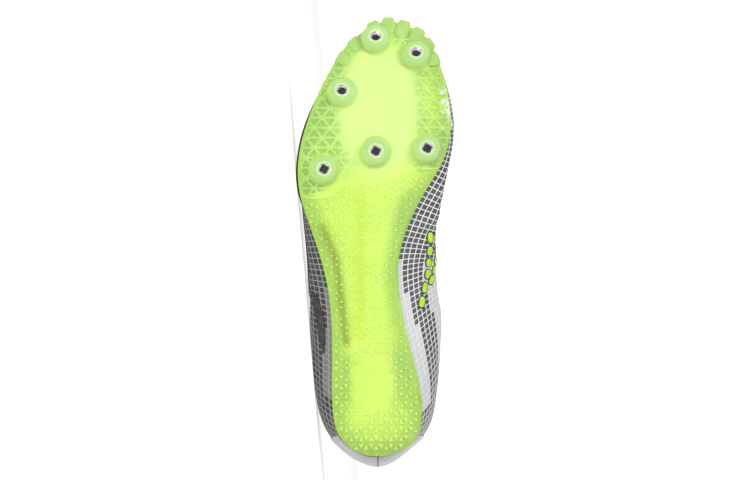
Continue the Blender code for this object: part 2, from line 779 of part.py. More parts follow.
def make_lace(number, y, finish):
    """One flat bar of the lace, from eyestay to eyestay over the tongue."""
    rib = rib_at(y)
    levels = np.linspace(TOP_LEVEL - BAND_STEPS / 2, TOP_LEVEL, 3)
    lift = 3 * GAP + EYESTAY_THICK
    low = throat_row(rib, levels, lift, 5)
    high = throat_row(rib, levels, lift + LACE_THICK, 5)
    before = throat_row(rib - 0.1, levels, lift, 5)
    after = throat_row(rib + 0.1, levels, lift, 5)
    side = after - before
    ahead = np.gradient(low, axis=0)
    ahead /= np.linalg.norm(ahead, axis=1, keepdims=True)
    side -= ahead * (side * ahead).sum(axis=1, keepdims=True)
    side *= LACE_WIDTH / 2 / np.linalg.norm(side, axis=1, keepdims=True)
    return solid(
        f"lace_{number}",
        np.stack([low - side, low + side]),
        np.stack([high - side, high + side]),
        finish,
    )


def mass_centre(pieces):
    """The pieces' common centre of mass, in the shoe's own frame."""
    total = 0.0
    moment = Vector((0, 0, 0))
    for made in pieces:
        density = DENSITY[made.data.materials[0].name]
        mesh = made.data
        mesh.calc_loop_triangles()
        for triangle in mesh.loop_triangles:
            a, b, c = (mesh.vertices[i].co for i in triangle.vertices)
            mass = a.dot(b.cross(c)) / 6 * density
            total += mass
            moment += (a + b + c) / 4 * mass
    return moment / total


def resting_normal(pieces):
    """The way down once the shoe lies on its outer side, on the hull face that holds it."""
    hull = bmesh.new()
    for made in pieces:
        for vertex in made.data.vertices:
            hull.verts.new(vertex.co)
    bmesh.ops.convex_hull(hull, input=hull.verts)
    hull.normal_update()
    centre = mass_centre(pieces)
    holding = []
    for face in hull.faces:
        normal = face.normal
        foot = centre + normal * (face.verts[0].co - centre).dot(normal)
        corners = [vertex.co for vertex in face.verts]
        margin = min(
            (b - a).normalized().cross(foot - a).dot(normal)
            for a, b in zip(corners, corners[1:] + corners[:1])
        )
        if normal.x > 0.7:
            holding.append((min(margin, STEADY_MARGIN), normal.x, tuple(normal)))
    hull.free()
    return Vector(max(holding)[2])


def lay_down(pieces, down):
    """Parents every piece to one empty that turns the shoe onto its outer side."""
    up = -down
    heelward = -(Vector((0, 1, 0)) - down * down.y).normalized()
    turn = Matrix((heelward, up.cross(heelward), up)).to_4x4()
    corners = [turn @ vertex.co for made in pieces for vertex in made.data.vertices]
    low = [min(corner[axis] for corner in corners) for axis in range(3)]
    high = [max(corner[axis] for corner in corners) for axis in range(3)]
    middle = Vector(((low[0] + high[0]) / 2, (low[1] + high[1]) / 2, low[2]))
    laid = bpy.data.objects.new("laid", None)
    laid.matrix_world = Matrix.Translation(-middle) @ turn
    bpy.context.scene.collection.objects.link(laid)
    for made in list(bpy.data.objects):
        if made is not laid:
            made.parent = laid


def make_shoe():
    plate = material("lime plate", TRANSLUCENT_PLATE, 0.25)
    rubber = material("lime rubber", TRANSLUCENT_RUBBER, 0.35)
    foam = material("foam", FOAM_WHITE, 0.6)
    lining = material("lining", LINING_GREY, 0.9)
    ripstop = material("ripstop", RIPSTOP_GREY, 0.55)
    film = material("film", FILM_GREY, 0.35)
    steel = material("steel", STEEL, 0.3, 1.0)
    lace = material("lace", LACE_LIME, 0.8)

    pieces = [make_plate(plate), make_outsole(rubber), make_midsole(foam), make_insole(lining)]
    pieces += [make_socket(number, boss, steel) for number, boss in enumerate(BOSSES, 1)]
    pieces += [make_upper(ripstop), make_heel_counter(film), make_eyestay(film)]
    pieces.append(make_tongue(ripstop))
    pieces += [make_lace(number, y, lace) for number, y in enumerate(LACE_BARS, 1)]
    return pieces


for old in list(bpy.data.objects):
    bpy.data.objects.remove(old, do_unlink=True)
shoe = make_shoe()
lay_down(shoe, resting_normal(shoe))
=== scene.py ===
import json
import math
import bmesh
import bpy
import numpy as np
from mathutils import Matrix, Vector


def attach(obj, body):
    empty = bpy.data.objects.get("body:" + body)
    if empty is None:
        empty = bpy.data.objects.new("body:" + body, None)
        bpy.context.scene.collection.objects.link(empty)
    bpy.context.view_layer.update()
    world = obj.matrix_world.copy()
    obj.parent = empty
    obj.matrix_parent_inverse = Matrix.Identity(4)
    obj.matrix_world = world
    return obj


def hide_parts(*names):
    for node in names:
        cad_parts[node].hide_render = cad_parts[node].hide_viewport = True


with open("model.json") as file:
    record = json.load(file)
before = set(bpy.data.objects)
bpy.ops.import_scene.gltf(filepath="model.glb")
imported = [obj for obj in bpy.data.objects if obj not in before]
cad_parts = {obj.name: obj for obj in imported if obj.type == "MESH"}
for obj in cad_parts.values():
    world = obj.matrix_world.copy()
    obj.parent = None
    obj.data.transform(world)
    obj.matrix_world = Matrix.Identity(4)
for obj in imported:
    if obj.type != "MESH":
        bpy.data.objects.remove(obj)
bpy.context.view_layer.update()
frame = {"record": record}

# The shoe is drawn in its own frame, as its solids are: y from heel to toe, x to the outer
# side, z up from the ground it would stand on. Ribs run round the foot: 0 at the back of the
# heel, 16 at the toe, outer side first. place() then lays every point where the solids lie.

shoe = {
    "length": 0.286,
    "ballWidth": 0.091,
    "instepHeight": 0.088,
    "heelHeight": 0.078,
    "toeSpring": 0.028,
    "archLift": 0.0035,
    "lowest": 0.001,
    "rubberThick": 0.0024,
    "foamThick": 0.007,
    "gap": 0.0003,
    "toeRib": 16,
    "ribCount": 32,
    "throatRib": 7,
}
# y, then the sole's edge outer and inner, the upper's bulge outer and inner, the height of
# the bulge outer and inner, and how far the midsole stands out
sections = np.array(
    [
        (0.031, 0.000, 0.000, 0.097, 0.097, 0.284, 0.284, 0),
        (0.038, 0.121, 0.116, 0.077, 0.066, 0.284, 0.284, 0),
        (0.061, 0.225, 0.232, 0.066, 0.044, 0.260, 0.284, 0),
        (0.101, 0.295, 0.295, 0.087, 0.077, 0.210, 0.284, 0),
        (0.175, 0.314, 0.291, 0.125, 0.130, 0.165, 0.284, 0),
        (0.280, 0.314, 0.213, 0.149, 0.242, 0.150, 0.318, 0),
        (0.378, 0.334, 0.152, 0.145, 0.271, 0.150, 0.290, 0),
        (0.462, 0.393, 0.143, 0.100, 0.270, 0.145, 0.235, 0),
        (0.538, 0.473, 0.212, 0.040, 0.208, 0.120, 0.155, 0.3),
        (0.608, 0.538, 0.321, -0.006, 0.138, 0.090, 0.100, 1),
        (0.678, 0.546, 0.448, -0.007, 0.051, 0.074, 0.074, 1),
        (0.745, 0.503, 0.499, -0.003, 0.029, 0.074, 0.074, 1),
        (0.811, 0.430, 0.489, 0.003, 0.018, 0.080, 0.080, 0.6),
        (0.871, 0.344, 0.449, 0.003, 0.007, 0.085, 0.085, 0),
        (0.923, 0.245, 0.393, 0.002, 0.002, 0.080, 0.080, 0),
        (0.963, 0.119, 0.297, 0.000, 0.000, 0.068, 0.068, 0),
        (0.989, -0.071, 0.071, 0.000, 0.000, 0.057, 0.057, 0),
    ]
)
# y, half widths outer and inner, height by the heel's and by the instep's, slope, fullness
topEdge = np.array(
    [
        (0.0245, 0.000, 0.000, 1.000, 0.000, 90, 0.36),
        (0.0297, 0.121, 0.121, 0.995, 0.000, 90, 0.36),
        (0.0524, 0.225, 0.225, 0.968, 0.000, 90, 0.36),
        (0.101, 0.319, 0.313, 0.897, 0.000, 90, 0.36),
        (0.178, 0.421, 0.360, 0.814, 0.000, 90, 0.36),
        (0.273, 0.464, 0.372, 0.400, 0.350, 90, 0.36),
        (0.353, 0.385, 0.335, 0.000, 0.807, 66, 0.42),
        (0.409, 0.214, 0.242, 0.000, 0.943, 45, 0.50),
        (0.458, 0.165, 0.198, 0.000, 0.915, 38, 0.55),
        (0.517, 0.143, 0.170, 0.000, 0.835, 34, 0.58),
        (0.570, 0.121, 0.143, 0.000, 0.761, 30, 0.60),
        (0.612, 0.097, 0.115, 0.000, 0.705, 24, 0.60),
        (0.640, 0.068, 0.082, 0.000, 0.677, 18, 0.62),
        (0.654, 0.042, 0.051, 0.000, 0.666, 14, 0.62),
        (0.661, 0.022, 0.029, 0.000, 0.660, 11, 0.62),
        (0.663, 0.009, 0.014, 0.000, 0.659, 9, 0.62),
        (0.6636, -0.003, 0.003, 0.000, 0.659, 8, 0.62),
    ]
)
# y, then shares of the stand on the bosses, of the arch, of the toe spring and of the foam
soleProfile = np.array(
    [
        (0.031, 0.00, 0.00, 0.15, 1.00),
        (0.049, 0.00, 0.00, 0.06, 1.00),
        (0.077, 0.00, 0.00, 0.00, 1.00),
        (0.252, 0.00, 0.00, 0.00, 1.00),
        (0.343, 0.30, 0.35, 0.00, 0.93),
        (0.427, 0.60, 0.95, 0.00, 0.80),
        (0.510, 0.85, 1.00, 0.00, 0.60),
        (0.587, 1.00, 0.35, 0.00, 0.48),
        (0.650, 1.00, 0.00, 0.00, 0.43),
        (0.713, 1.00, 0.00, 0.03, 0.43),
        (0.776, 1.00, 0.00, 0.12, 0.40),
        (0.839, 1.00, 0.00, 0.29, 0.38),
        (0.902, 1.00, 0.00, 0.52, 0.36),
        (0.951, 1.00, 0.00, 0.72, 0.36),
        (1.000, 1.00, 0.00, 0.94, 0.36),
    ]
)
bosses = {
    "places": (
        (0.015, 0.948),
        (-0.265, 0.912),
        (0.247, 0.828),
        (0.369, 0.658),
        (0.014, 0.697),
        (-0.338, 0.703),
    ),
    "height": 0.0045,
    "baseRadius": 0.009,
    "seatOffset": -0.0057,
    "turnSteps": 72,
}
heelPad = {"place": (0.048, 0.188), "halfWidth": 0.013, "halfLength": 0.018}
wall = {
    "thick": 0.0016,
    "collarPad": 0.003,
    "feather": 0.001,
    "eyestayWidth": 0.013,
    "flareOut": 1.5,
    "flareUp": 0.5,
    "padRibs": (5.3, 6.5),
    "padLevels": (6.5, 9.5),
    "padThinner": 0.5,
}
levelShares = np.array((0, 0.06, 0.14, 0.24, 0.36, 0.50, 0.66, 0.83, 1))
bandSteps = 3
eyestayLevel = len(levelShares) - 1
topLevel = eyestayLevel + bandSteps


def unit(vectors):
    return vectors / np.linalg.norm(vectors, axis=-1, keepdims=True)


def runAlong(line):
    # how far along a line each of its points lies
    return np.concatenate([[0], np.cumsum(np.linalg.norm(np.diff(line, axis=0), axis=1))])


def roundTurn(count, start=0.0):
    # cosine and sine of even steps round a circle
    angles = [2 * math.pi * k / count + start for k in range(count)]
    return [(math.cos(angle), math.sin(angle)) for angle in angles]


def smoothStep(value, low, high):
    share = np.clip((value - low) / (high - low), 0, 1)
    return share * share * (3 - 2 * share)


def hermite(start, startSlope, end, endSlope, share):
    return (
        start * (1 + 2 * share) * (1 - share) ** 2
        + startSlope * share * (1 - share) ** 2
        + end * share**2 * (3 - 2 * share)
        + endSlope * share**2 * (share - 1)
    )


def loopCurve(knots):
    knots = np.asarray(knots, float)
    unit = np.eye(len(knots))
    ties = 4 * unit + np.roll(unit, 1, axis=0) + np.roll(unit, -1, axis=0)
    slopes = np.linalg.solve(ties, 3 * (np.roll(knots, -1) - np.roll(knots, 1)))

    def value(rib):
        rib = np.asarray(rib, float) % len(knots)
        low = np.floor(rib).astype(int) % len(knots)
        high = (low + 1) % len(knots)
        return hermite(knots[low], slopes[low], knots[high], slopes[high], rib - np.floor(rib))

    return value


def risingCurve(places, values):
    steps = np.diff(places)
    slopes = np.diff(values) / steps
    tangents = np.zeros(len(values))
    for i in range(1, len(slopes)):
        if slopes[i - 1] * slopes[i] > 0:
            tangents[i] = 2 * slopes[i - 1] * slopes[i] / (slopes[i - 1] + slopes[i])
    tangents[0] = slopes[0]
    tangents[-1] = slopes[-1]

    def value(place):
        place = np.clip(place, places[0], places[-1])
        low = np.clip(np.searchsorted(places, place) - 1, 0, len(steps) - 1)
        share = (place - places[low]) / steps[low]
        start = tangents[low] * steps[low]
        return hermite(values[low], start, values[low + 1], tangents[low + 1] * steps[low], share)

    return value


def roundTheFoot(outer, inner):
    return loopCurve(np.concatenate([outer, inner[-2:0:-1]]))


outlineY = roundTheFoot(sections[:, 0], sections[:, 0])
outlineX = roundTheFoot(sections[:, 1], -sections[:, 2])
bulgeOut = roundTheFoot(sections[:, 3], sections[:, 4])
bulgeRise = roundTheFoot(sections[:, 5], sections[:, 6])
midsoleLip = roundTheFoot(sections[:, 7], np.zeros(len(sections)))
topY = roundTheFoot(topEdge[:, 0], topEdge[:, 0])
topX = roundTheFoot(topEdge[:, 1], -topEdge[:, 2])
topByHeel, topByInstep, topSlope, topFullness = (
    roundTheFoot(topEdge[:, i], topEdge[:, i]) for i in (3, 4, 5, 6)
)
standShare, archShare, springShare, foamShare = (
    risingCurve(soleProfile[:, 0], soleProfile[:, i]) for i in (1, 2, 3, 4)
)


def onSole(place):
    # plan point of a place given in shares of the ball's width and of the length
    return np.array(place) * (shoe["ballWidth"], shoe["length"])


def outline(rib):
    # the sole's edge in plan, and the way out from it
    rib = np.asarray(rib, float)
    step = 0.02

    def edge(rib):
        return onSole(np.stack([outlineX(rib), outlineY(rib)], axis=-1))

    ahead = unit(edge(rib + step) - edge(rib - step))
    return edge(rib), np.stack([ahead[..., 1], -ahead[..., 0]], axis=-1)


def clearance(y):
    share = np.asarray(y) / shoe["length"]
    return (
        shoe["lowest"]
        + standShare(share) * (bosses["height"] - shoe["lowest"])
        + archShare(share) * shoe["archLift"]
        + springShare(share) * shoe["toeSpring"]
    )


def outsoleTop(y):
    return clearance(y) + shoe["rubberThick"]


def midsoleTop(y):
    return outsoleTop(y) + shoe["gap"] + foamShare(y / shoe["length"]) * shoe["foamThick"]


def insideFloor(y):
    return midsoleTop(y) + shoe["gap"]


def ribLines(rib, steps=40):
    # each rib of the upper as a line of points, from the sole's edge to the top edge
    rib = np.atleast_1d(np.asarray(rib, float))
    edge, out = outline(rib)
    foot = np.column_stack([edge - out * wall["feather"], insideFloor(edge[:, 1])])
    bulge = bulgeOut(rib) * shoe["ballWidth"]
    rise = bulgeRise(rib) * shoe["instepHeight"]
    widest = np.column_stack([edge + out * bulge[:, None], foot[:, 2] + rise])
    topZ = topByHeel(rib) * shoe["heelHeight"] + topByInstep(rib) * shoe["instepHeight"]
    top = np.column_stack([topX(rib) * shoe["ballWidth"], topY(rib) * shoe["length"], topZ])
    flareOut = out * np.abs(bulge)[:, None] * wall["flareOut"]
    flare = np.column_stack([flareOut, rise * wall["flareUp"]])
    inward = top[:, :2] - widest[:, :2]
    reach = np.linalg.norm(inward, axis=1)
    climb = top[:, 2] - widest[:, 2]
    pull = 3 * topFullness(rib)
    slope = np.radians(topSlope(rib))
    landing = pull * (np.cos(slope) * reach + np.sin(slope) * climb)
    upward = np.zeros_like(widest)
    upward[:, 2] = pull * climb
    arrival = np.column_stack(
        [inward / reach[:, None] * (np.cos(slope) * landing)[:, None], np.sin(slope) * landing]
    )
    share = np.linspace(0, 1, steps + 1)[None, :, None]
    toWidest = np.zeros_like(widest)
    toWidest[:, 2] = rise
    low = hermite(foot[:, None], flare[:, None], widest[:, None], toWidest[:, None], share)
    high = hermite(widest[:, None], upward[:, None], top[:, None], arrival[:, None], share)
    return np.concatenate([low, high[:, 1:]], axis=1)


def upperPoints(rib, level):
    # rows are ribs and columns levels; also how far up its rib each point lies, and the rib's length
    level = np.clip(np.atleast_1d(np.asarray(level, float)), 0, topLevel)
    lines = ribLines(rib)
    points = np.empty((len(lines), len(level), 3))
    climbs = np.empty(points.shape[:2])
    lengths = np.empty(len(lines))
    for i, line in enumerate(lines):
        run = runAlong(line)
        below = run[-1] - wall["eyestayWidth"]
        band = below + wall["eyestayWidth"] * np.arange(1, bandSteps + 1) / bandSteps
        marks = np.concatenate([levelShares * below, band])
        climbs[i] = np.interp(level, np.arange(len(marks)), marks)
        lengths[i] = run[-1]
        for axis in range(3):
            points[i, :, axis] = np.interp(climbs[i], run, line[:, axis])
    return points, climbs, lengths


def upperSurface(rib, level):
    # points of the upper's smooth face, and the way out from it
    rib = np.atleast_1d(np.asarray(rib, float))
    level = np.atleast_1d(np.asarray(level, float))
    step = 0.04
    along = upperPoints(rib + step, level)[0] - upperPoints(rib - step, level)[0]
    up = upperPoints(rib, level + step)[0] - upperPoints(rib, level - step)[0]
    return upperPoints(rib, level)[0], unit(np.cross(along, up))


def ribDistance(rib):
    # ribs from the back of the heel, on either side
    rib = np.asarray(rib, float) % shoe["ribCount"]
    return np.minimum(rib, shoe["ribCount"] - rib)


def wallAt(rib, level):
    # the wall's thickness, padded round the collar and thinner again at the rim
    roundCollar = 1 - smoothStep(ribDistance(rib), *wall["padRibs"])
    rim = 1 - wall["padThinner"] * smoothStep(level, topLevel - 1, topLevel)
    pad = np.outer(roundCollar, smoothStep(level, *wall["padLevels"]) * rim)
    return wall["thick"] + wall["collarPad"] * pad


def bossFrame(boss):
    # the point of the sole under a boss, and the way from it into the shoe
    x, y = onSole(boss)
    rise = (clearance(y + 0.001) - clearance(y - 0.001)) / 0.002
    return np.array([x, y, float(clearance(y))]), unit(np.array([0, -rise, 1.0]))


def restingPlace():
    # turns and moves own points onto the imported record's mounts
    own = [(*onSole(heelPad["place"]), 0)]
    for boss in bosses["places"]:
        foot, up = bossFrame(boss)
        own.append(foot - up * bosses["height"] + np.array([bosses["seatOffset"], 0, 0]))
    own = np.array(own)
    laid = np.array([mount["pos_m"] for mount in frame["record"]["mounts"]])
    left, _, right = np.linalg.svd((own - own.mean(0)).T @ (laid - laid.mean(0)))
    flip = np.diag([1, 1, np.sign(np.linalg.det(right.T @ left.T))])
    turn = right.T @ flip @ left.T
    return turn, laid.mean(0) - turn @ own.mean(0)


turnLaid, moveLaid = restingPlace()


def place(points):
    return np.asarray(points) @ turnLaid.T + moveLaid


photo = {
    "width": 750,
    "centre": (375, 240),
    "sensor": 36,
    "perPixel": 0.000622,
    "distance": 1.5,
    "middle": (0.00187, 0.1441),
}


def makeCamera():
    aim = bpy.data.cameras.new("camera")
    aim.sensor_width = photo["sensor"]
    aim.lens = photo["sensor"] * photo["distance"] / (photo["width"] * photo["perPixel"])
    aim.clip_start = 0.05
    aim.clip_end = 30
    camera = bpy.data.objects.new("camera", aim)
    bpy.context.scene.collection.objects.link(camera)
    axes = np.column_stack([turnLaid @ (-1, 0, 0), turnLaid @ (0, 1, 0), turnLaid @ (0, 0, -1)])
    matrix = np.eye(4)
    matrix[:3, :3] = axes
    matrix[:3, 3] = place((*photo["middle"], -photo["distance"]))
    camera.matrix_world = Matrix(matrix.tolist())
    bpy.context.scene.camera = camera


makeCamera()
print("camera set")


class Wire:
    # an output socket that takes part in arithmetic
    def __init__(self, finish, socket):
        self.finish = finish
        self.socket = socket

    def math(self, operation, other=None, flipped=False):
        values = [self] if other is None else [other, self] if flipped else [self, other]
        return self.finish.node("ShaderNodeMath", {"operation": operation}, dict(enumerate(values)))

    def __add__(self, other):
        return self.math("ADD", other)

    def __sub__(self, other):
        return self.math("SUBTRACT", other)

    def __mul__(self, other):
        return self.math("MULTIPLY", other)

    def __truediv__(self, other):
        return self.math("DIVIDE", other)

    def __rsub__(self, other):
        return self.math("SUBTRACT", other, True)

    def __lt__(self, other):
        return self.math("LESS_THAN", other)

    def __gt__(self, other):
        return self.math("GREATER_THAN", other)

    __radd__ = __add__
    __rmul__ = __mul__


class Finish:
    # one procedural material
    def __init__(self, name, **constants):
        self.material = bpy.data.materials.new(name)
        self.material.use_nodes = True
        self.tree = self.material.node_tree
        self.shader = self.tree.nodes["Principled BSDF"]
        for socket, value in constants.items():
            self.shader.inputs[socket.replace("_", " ")].default_value = value

    def node(self, kind, settings=None, inputs=None, output=0):
        made = self.tree.nodes.new(kind)
        for name, value in (settings or {}).items():
            setattr(made, name, value)
        for name, value in (inputs or {}).items():
            if isinstance(value, Wire):
                self.tree.links.new(value.socket, made.inputs[name])
            else:
                made.inputs[name].default_value = value
        return Wire(self, made.outputs[output])

    def painted(self, name):
        return self.node("ShaderNodeAttribute", {"attribute_name": name}, output="Fac")

    def point(self, name="own"):
        return self.node("ShaderNodeAttribute", {"attribute_name": name}, output="Vector")

    def parts(self, vector):
        split = self.node("ShaderNodeSeparateXYZ", None, {0: vector})
        return [Wire(self, output) for output in split.socket.node.outputs]

    def noise(self, vector, scale, detail=3.0, rough=0.5):
        inputs = {"Vector": vector, "Scale": scale, "Detail": detail, "Roughness": rough}
        return self.node("ShaderNodeTexNoise", None, inputs)

    def step(self, value, low, high):
        inputs = {"Value": value, "From Min": low, "From Max": high}
        return self.node("ShaderNodeMapRange", {"interpolation_type": "SMOOTHSTEP"}, inputs)

    def blend(self, factor, first, second, way="MIX"):
        settings = {"data_type": "RGBA", "blend_type": way}
        colours = [(*c, 1) if isinstance(c, tuple) else c for c in (first, second)]
        inputs = {0: factor, 6: colours[0], 7: colours[1]}
        return self.node("ShaderNodeMix", settings, inputs, output=2)

    def patches(self, cloud, low, high, first, second):
        # two colours in soft patches
        return self.blend(self.step(cloud, low, high), first, second)

    def bump(self, height, distance, strength):
        inputs = {"Height": height, "Distance": distance, "Strength": strength}
        return self.node("ShaderNodeBump", None, inputs)

    def feed(self, **sockets):
        for name, value in sockets.items():
            self.tree.links.new(value.socket, self.shader.inputs[name.replace("_", " ")])
        return self.material


def stripes(value, pitch):
    # distance from the nearest line of a set that lies a pitch apart
    return ((value / pitch).math("FRACT") - 0.5).math("ABSOLUTE") * -pitch + pitch / 2


def fixNormals(mesh):
    shell = bmesh.new()
    shell.from_mesh(mesh)
    bmesh.ops.recalc_face_normals(shell, faces=shell.faces)
    shell.to_mesh(mesh)
    shell.free()


def storeVectors(mesh, name, values, domain="POINT"):
    layer = mesh.attributes.new(name, "FLOAT_VECTOR", domain)
    layer.data.foreach_set("vector", np.asarray(values, np.float32).ravel())


def makeObject(name, points, faces, material, nodes=(), smooth=40):
    mesh = bpy.data.meshes.new(name)
    mesh.from_pydata(place(points).tolist(), [], faces)
    mesh.validate()
    made = bpy.data.objects.new(name, mesh)
    bpy.context.scene.collection.objects.link(made)
    mesh.materials.append(material)
    storeVectors(mesh, "own", np.asarray(points) * 1000)
    mesh.shade_smooth()
    mesh.set_sharp_from_angle(angle=math.radians(smooth))
    fixNormals(mesh)
    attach(made, "root")
    if nodes:
        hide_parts(*nodes)
    return made


def paint(made, name, values):
    layer = made.data.attributes.new(name, "FLOAT", "POINT")
    layer.data.foreach_set("value", np.asarray(values, np.float32).ravel())


def ringFaces(rings, count, first=0, closed=False):
    # faces between closed rings of points that follow one another
    faces = []
    for i in range(rings if closed else rings - 1):
        low, high = first + i * count, first + (i + 1) % rings * count
        for k in range(count):
            after = (k + 1) % count
            faces.append((low + k, low + after, high + after, high + k))
    return faces


def capFace(first, count):
    return tuple(range(first, first + count))


def gridFaces(rows, columns, first=0, flip=False):
    faces = []
    for a in range(first, first + (rows - 1) * columns, columns):
        for j in range(a, a + columns - 1):
            face = (j, j + columns, j + columns + 1, j + 1)
            faces.append(face[::-1] if flip else face)
    return faces


def slabFaces(rows, columns):
    # two grids of the same size, one after the other, with the walls between them
    count = rows * columns
    faces = gridFaces(rows, columns) + gridFaces(rows, columns, count, flip=True)
    for i in range(rows - 1):
        a, b = i * columns, (i + 1) * columns
        faces.append((a, a + count, b + count, b))
        a, b = a + columns - 1, b + columns - 1
        faces.append((a, b, b + count, a + count))
    for j in range(columns - 1):
        faces.append((j, j + 1, j + 1 + count, j + count))
        a = (rows - 1) * columns + j
        faces.append((a, a + count, a + 1 + count, a + 1))
    return faces


def slab(name, low, high, material, slot, nodes=()):
    # a closed piece between two grids of points
    points = np.concatenate([low.reshape(-1, 3), high.reshape(-1, 3)])
    return makeObject(name, points, slabFaces(*low.shape[:2]), material, nodes)


def across(outerRibs, innerRibs, columns, inset=None, band=0.004, rimSteps=6):
    # rows of plan points from the outer edge to the inner, closer together in a band at each
    # edge, and each point's place between the edges, from 1 to -1
    innerRibs = shoe["ribCount"] - np.asarray(innerRibs)
    outerEdge, outerOut = outline(outerRibs)
    innerEdge, innerOut = outline(innerRibs)
    if inset:
        outerEdge = outerEdge - outerOut * inset(outerRibs)[:, None]
        innerEdge = innerEdge - innerOut * inset(innerRibs)[:, None]
    width = np.linalg.norm(innerEdge - outerEdge, axis=1)
    near = np.minimum(band, 0.3 * width) / np.maximum(width, 1e-9)
    rim = np.outer(near, np.linspace(0, 1, rimSteps + 1)[:-1] ** 1.4)
    middle = near[:, None] + (1 - 2 * near[:, None]) * np.linspace(0, 1, columns)[None]
    share = np.concatenate([rim, middle, 1 - rim[:, ::-1]], axis=1)[..., None]
    points = outerEdge[:, None] * (1 - share) + innerEdge[:, None] * share
    return points, 1 - 2 * share[..., 0]


def edgeDistance(points, batch=4000):
    # how far plan points lie from the sole's edge
    edge, _ = outline(np.arange(0, shoe["ribCount"], 0.05))
    ahead = np.roll(edge, -1, axis=0) - edge
    size = (ahead**2).sum(1)
    flat = points.reshape(-1, 2)
    nearest = np.empty(len(flat))
    for start in range(0, len(flat), batch):
        part = flat[start : start + batch, None]
        share = np.clip(((part - edge) * ahead).sum(2) / size, 0, 1)
        away = np.linalg.norm(part - edge - share[..., None] * ahead, axis=2)
        nearest[start : start + batch] = away.min(axis=1)
    return nearest.reshape(points.shape[:-1])


def rounded(distance, radius=0.0016, band=0.004):
    # how much an edge is rounded off, by the distance from it
    return radius * np.clip(1 - distance / band, 0, 1) ** 2


def lifted(points, height):
    return np.concatenate([points, np.asarray(height)[..., None]], axis=-1)


# Lime finishes of the sole: a clear soft plastic over white foam, given a faint painted glow by emission
limes = {
    "middle": (0.64, 0.90, 0.115),
    "fore": (0.69, 0.96, 0.28),
    # edge, olive and yellow are the tones of the painted shading on the sole
    "edge": (0.33, 0.57, 0.085),
    "olive": (0.26, 0.36, 0.01),
    "yellow": (0.56, 0.78, 0.02),
    "rib": (0.45, 0.72, 0.21),
    # cell: darker in the recessed lattice cells, partly painted shade, with their own mottle
    "cell": (0.27, 0.46, 0.11),
    "clear": (0.86, 0.92, 0.82),
    "frosted": (0.44, 0.68, 0.23),
    # tip: a pale tone, a painted highlight on the nub tops and the cream of the boss rings and join lips
    "tip": (0.80, 1.0, 0.38),
    # groove: painted shade in the grooves of the rubber's lattice
    "groove": (0.31, 0.54, 0.05),
    # glow: strength of the painted emission glow
    "glow": 0.06,
    "foreMiddle": (378, 108),
    "foreReach": (0.033, 0.052),
    "foreFades": (0.55, 1.15),
    "foreRows": (0.165, 0.20),
    "rimWidth": (0.001, 0.016),
    "rimStrength": 0.8,
}
# painted shading drawn on the sole's curves: points by photo column and row, width in metres, and
# strength
paintedSoleShading = {
    "rim": (
        (((408, 205), (410, 300)), 0.009, 0.55),
        (((398, 355), (400, 398)), 0.006, 0.4),
        (((347, 360), (347, 400)), 0.003, 0.4),
        (((312, 215), (330, 260)), 0.007, 0.35),
    ),
    "olive": ((((322, 228), (336, 262), (340, 292), (346, 342)), 0.0028, 0.9),),
    "yellow": ((((360, 196), (360, 336)), 0.004, 0.6),),
}
# painted shade round each boss: ring radius, ring width, way to the shaded side, and strength
bossShade = {"radius": 0.0095, "width": 0.0017, "way": (0.55, -0.83), "strength": 0.5}
nubs = {
    "side": 0.0062,
    "radius": 0.0020,
    "worn": 0.8,
    "wornRows": (0.06, 0.10),
    "fade": 0.6,
    "fadeMiddle": -0.0195,
    "fadeWidth": 0.009,
    "fadeRows": (0.075, 0.09, 0.12, 0.14),
    "sunk": 0.0002,
    "topRadius": 0.0007,
    "height": 0.00085,
    "edgeRoom": 0.0019,
    "smoothHeel": (0.0044, 0.0539, 0.0135, 0.0185),
    "startRow": (0.00107, 0.0017),
}


def latticeLines(x, y, side):
    # distance in mm to the nearest line of a lattice of equal triangles
    row = side * math.sqrt(3) / 2
    away = stripes(y, row)
    for way in (-0.5, 0.5):
        slanted = stripes(x + y * (way * side / row), side) * math.sqrt(0.75)
        away = away.math("MINIMUM", slanted)
    return away


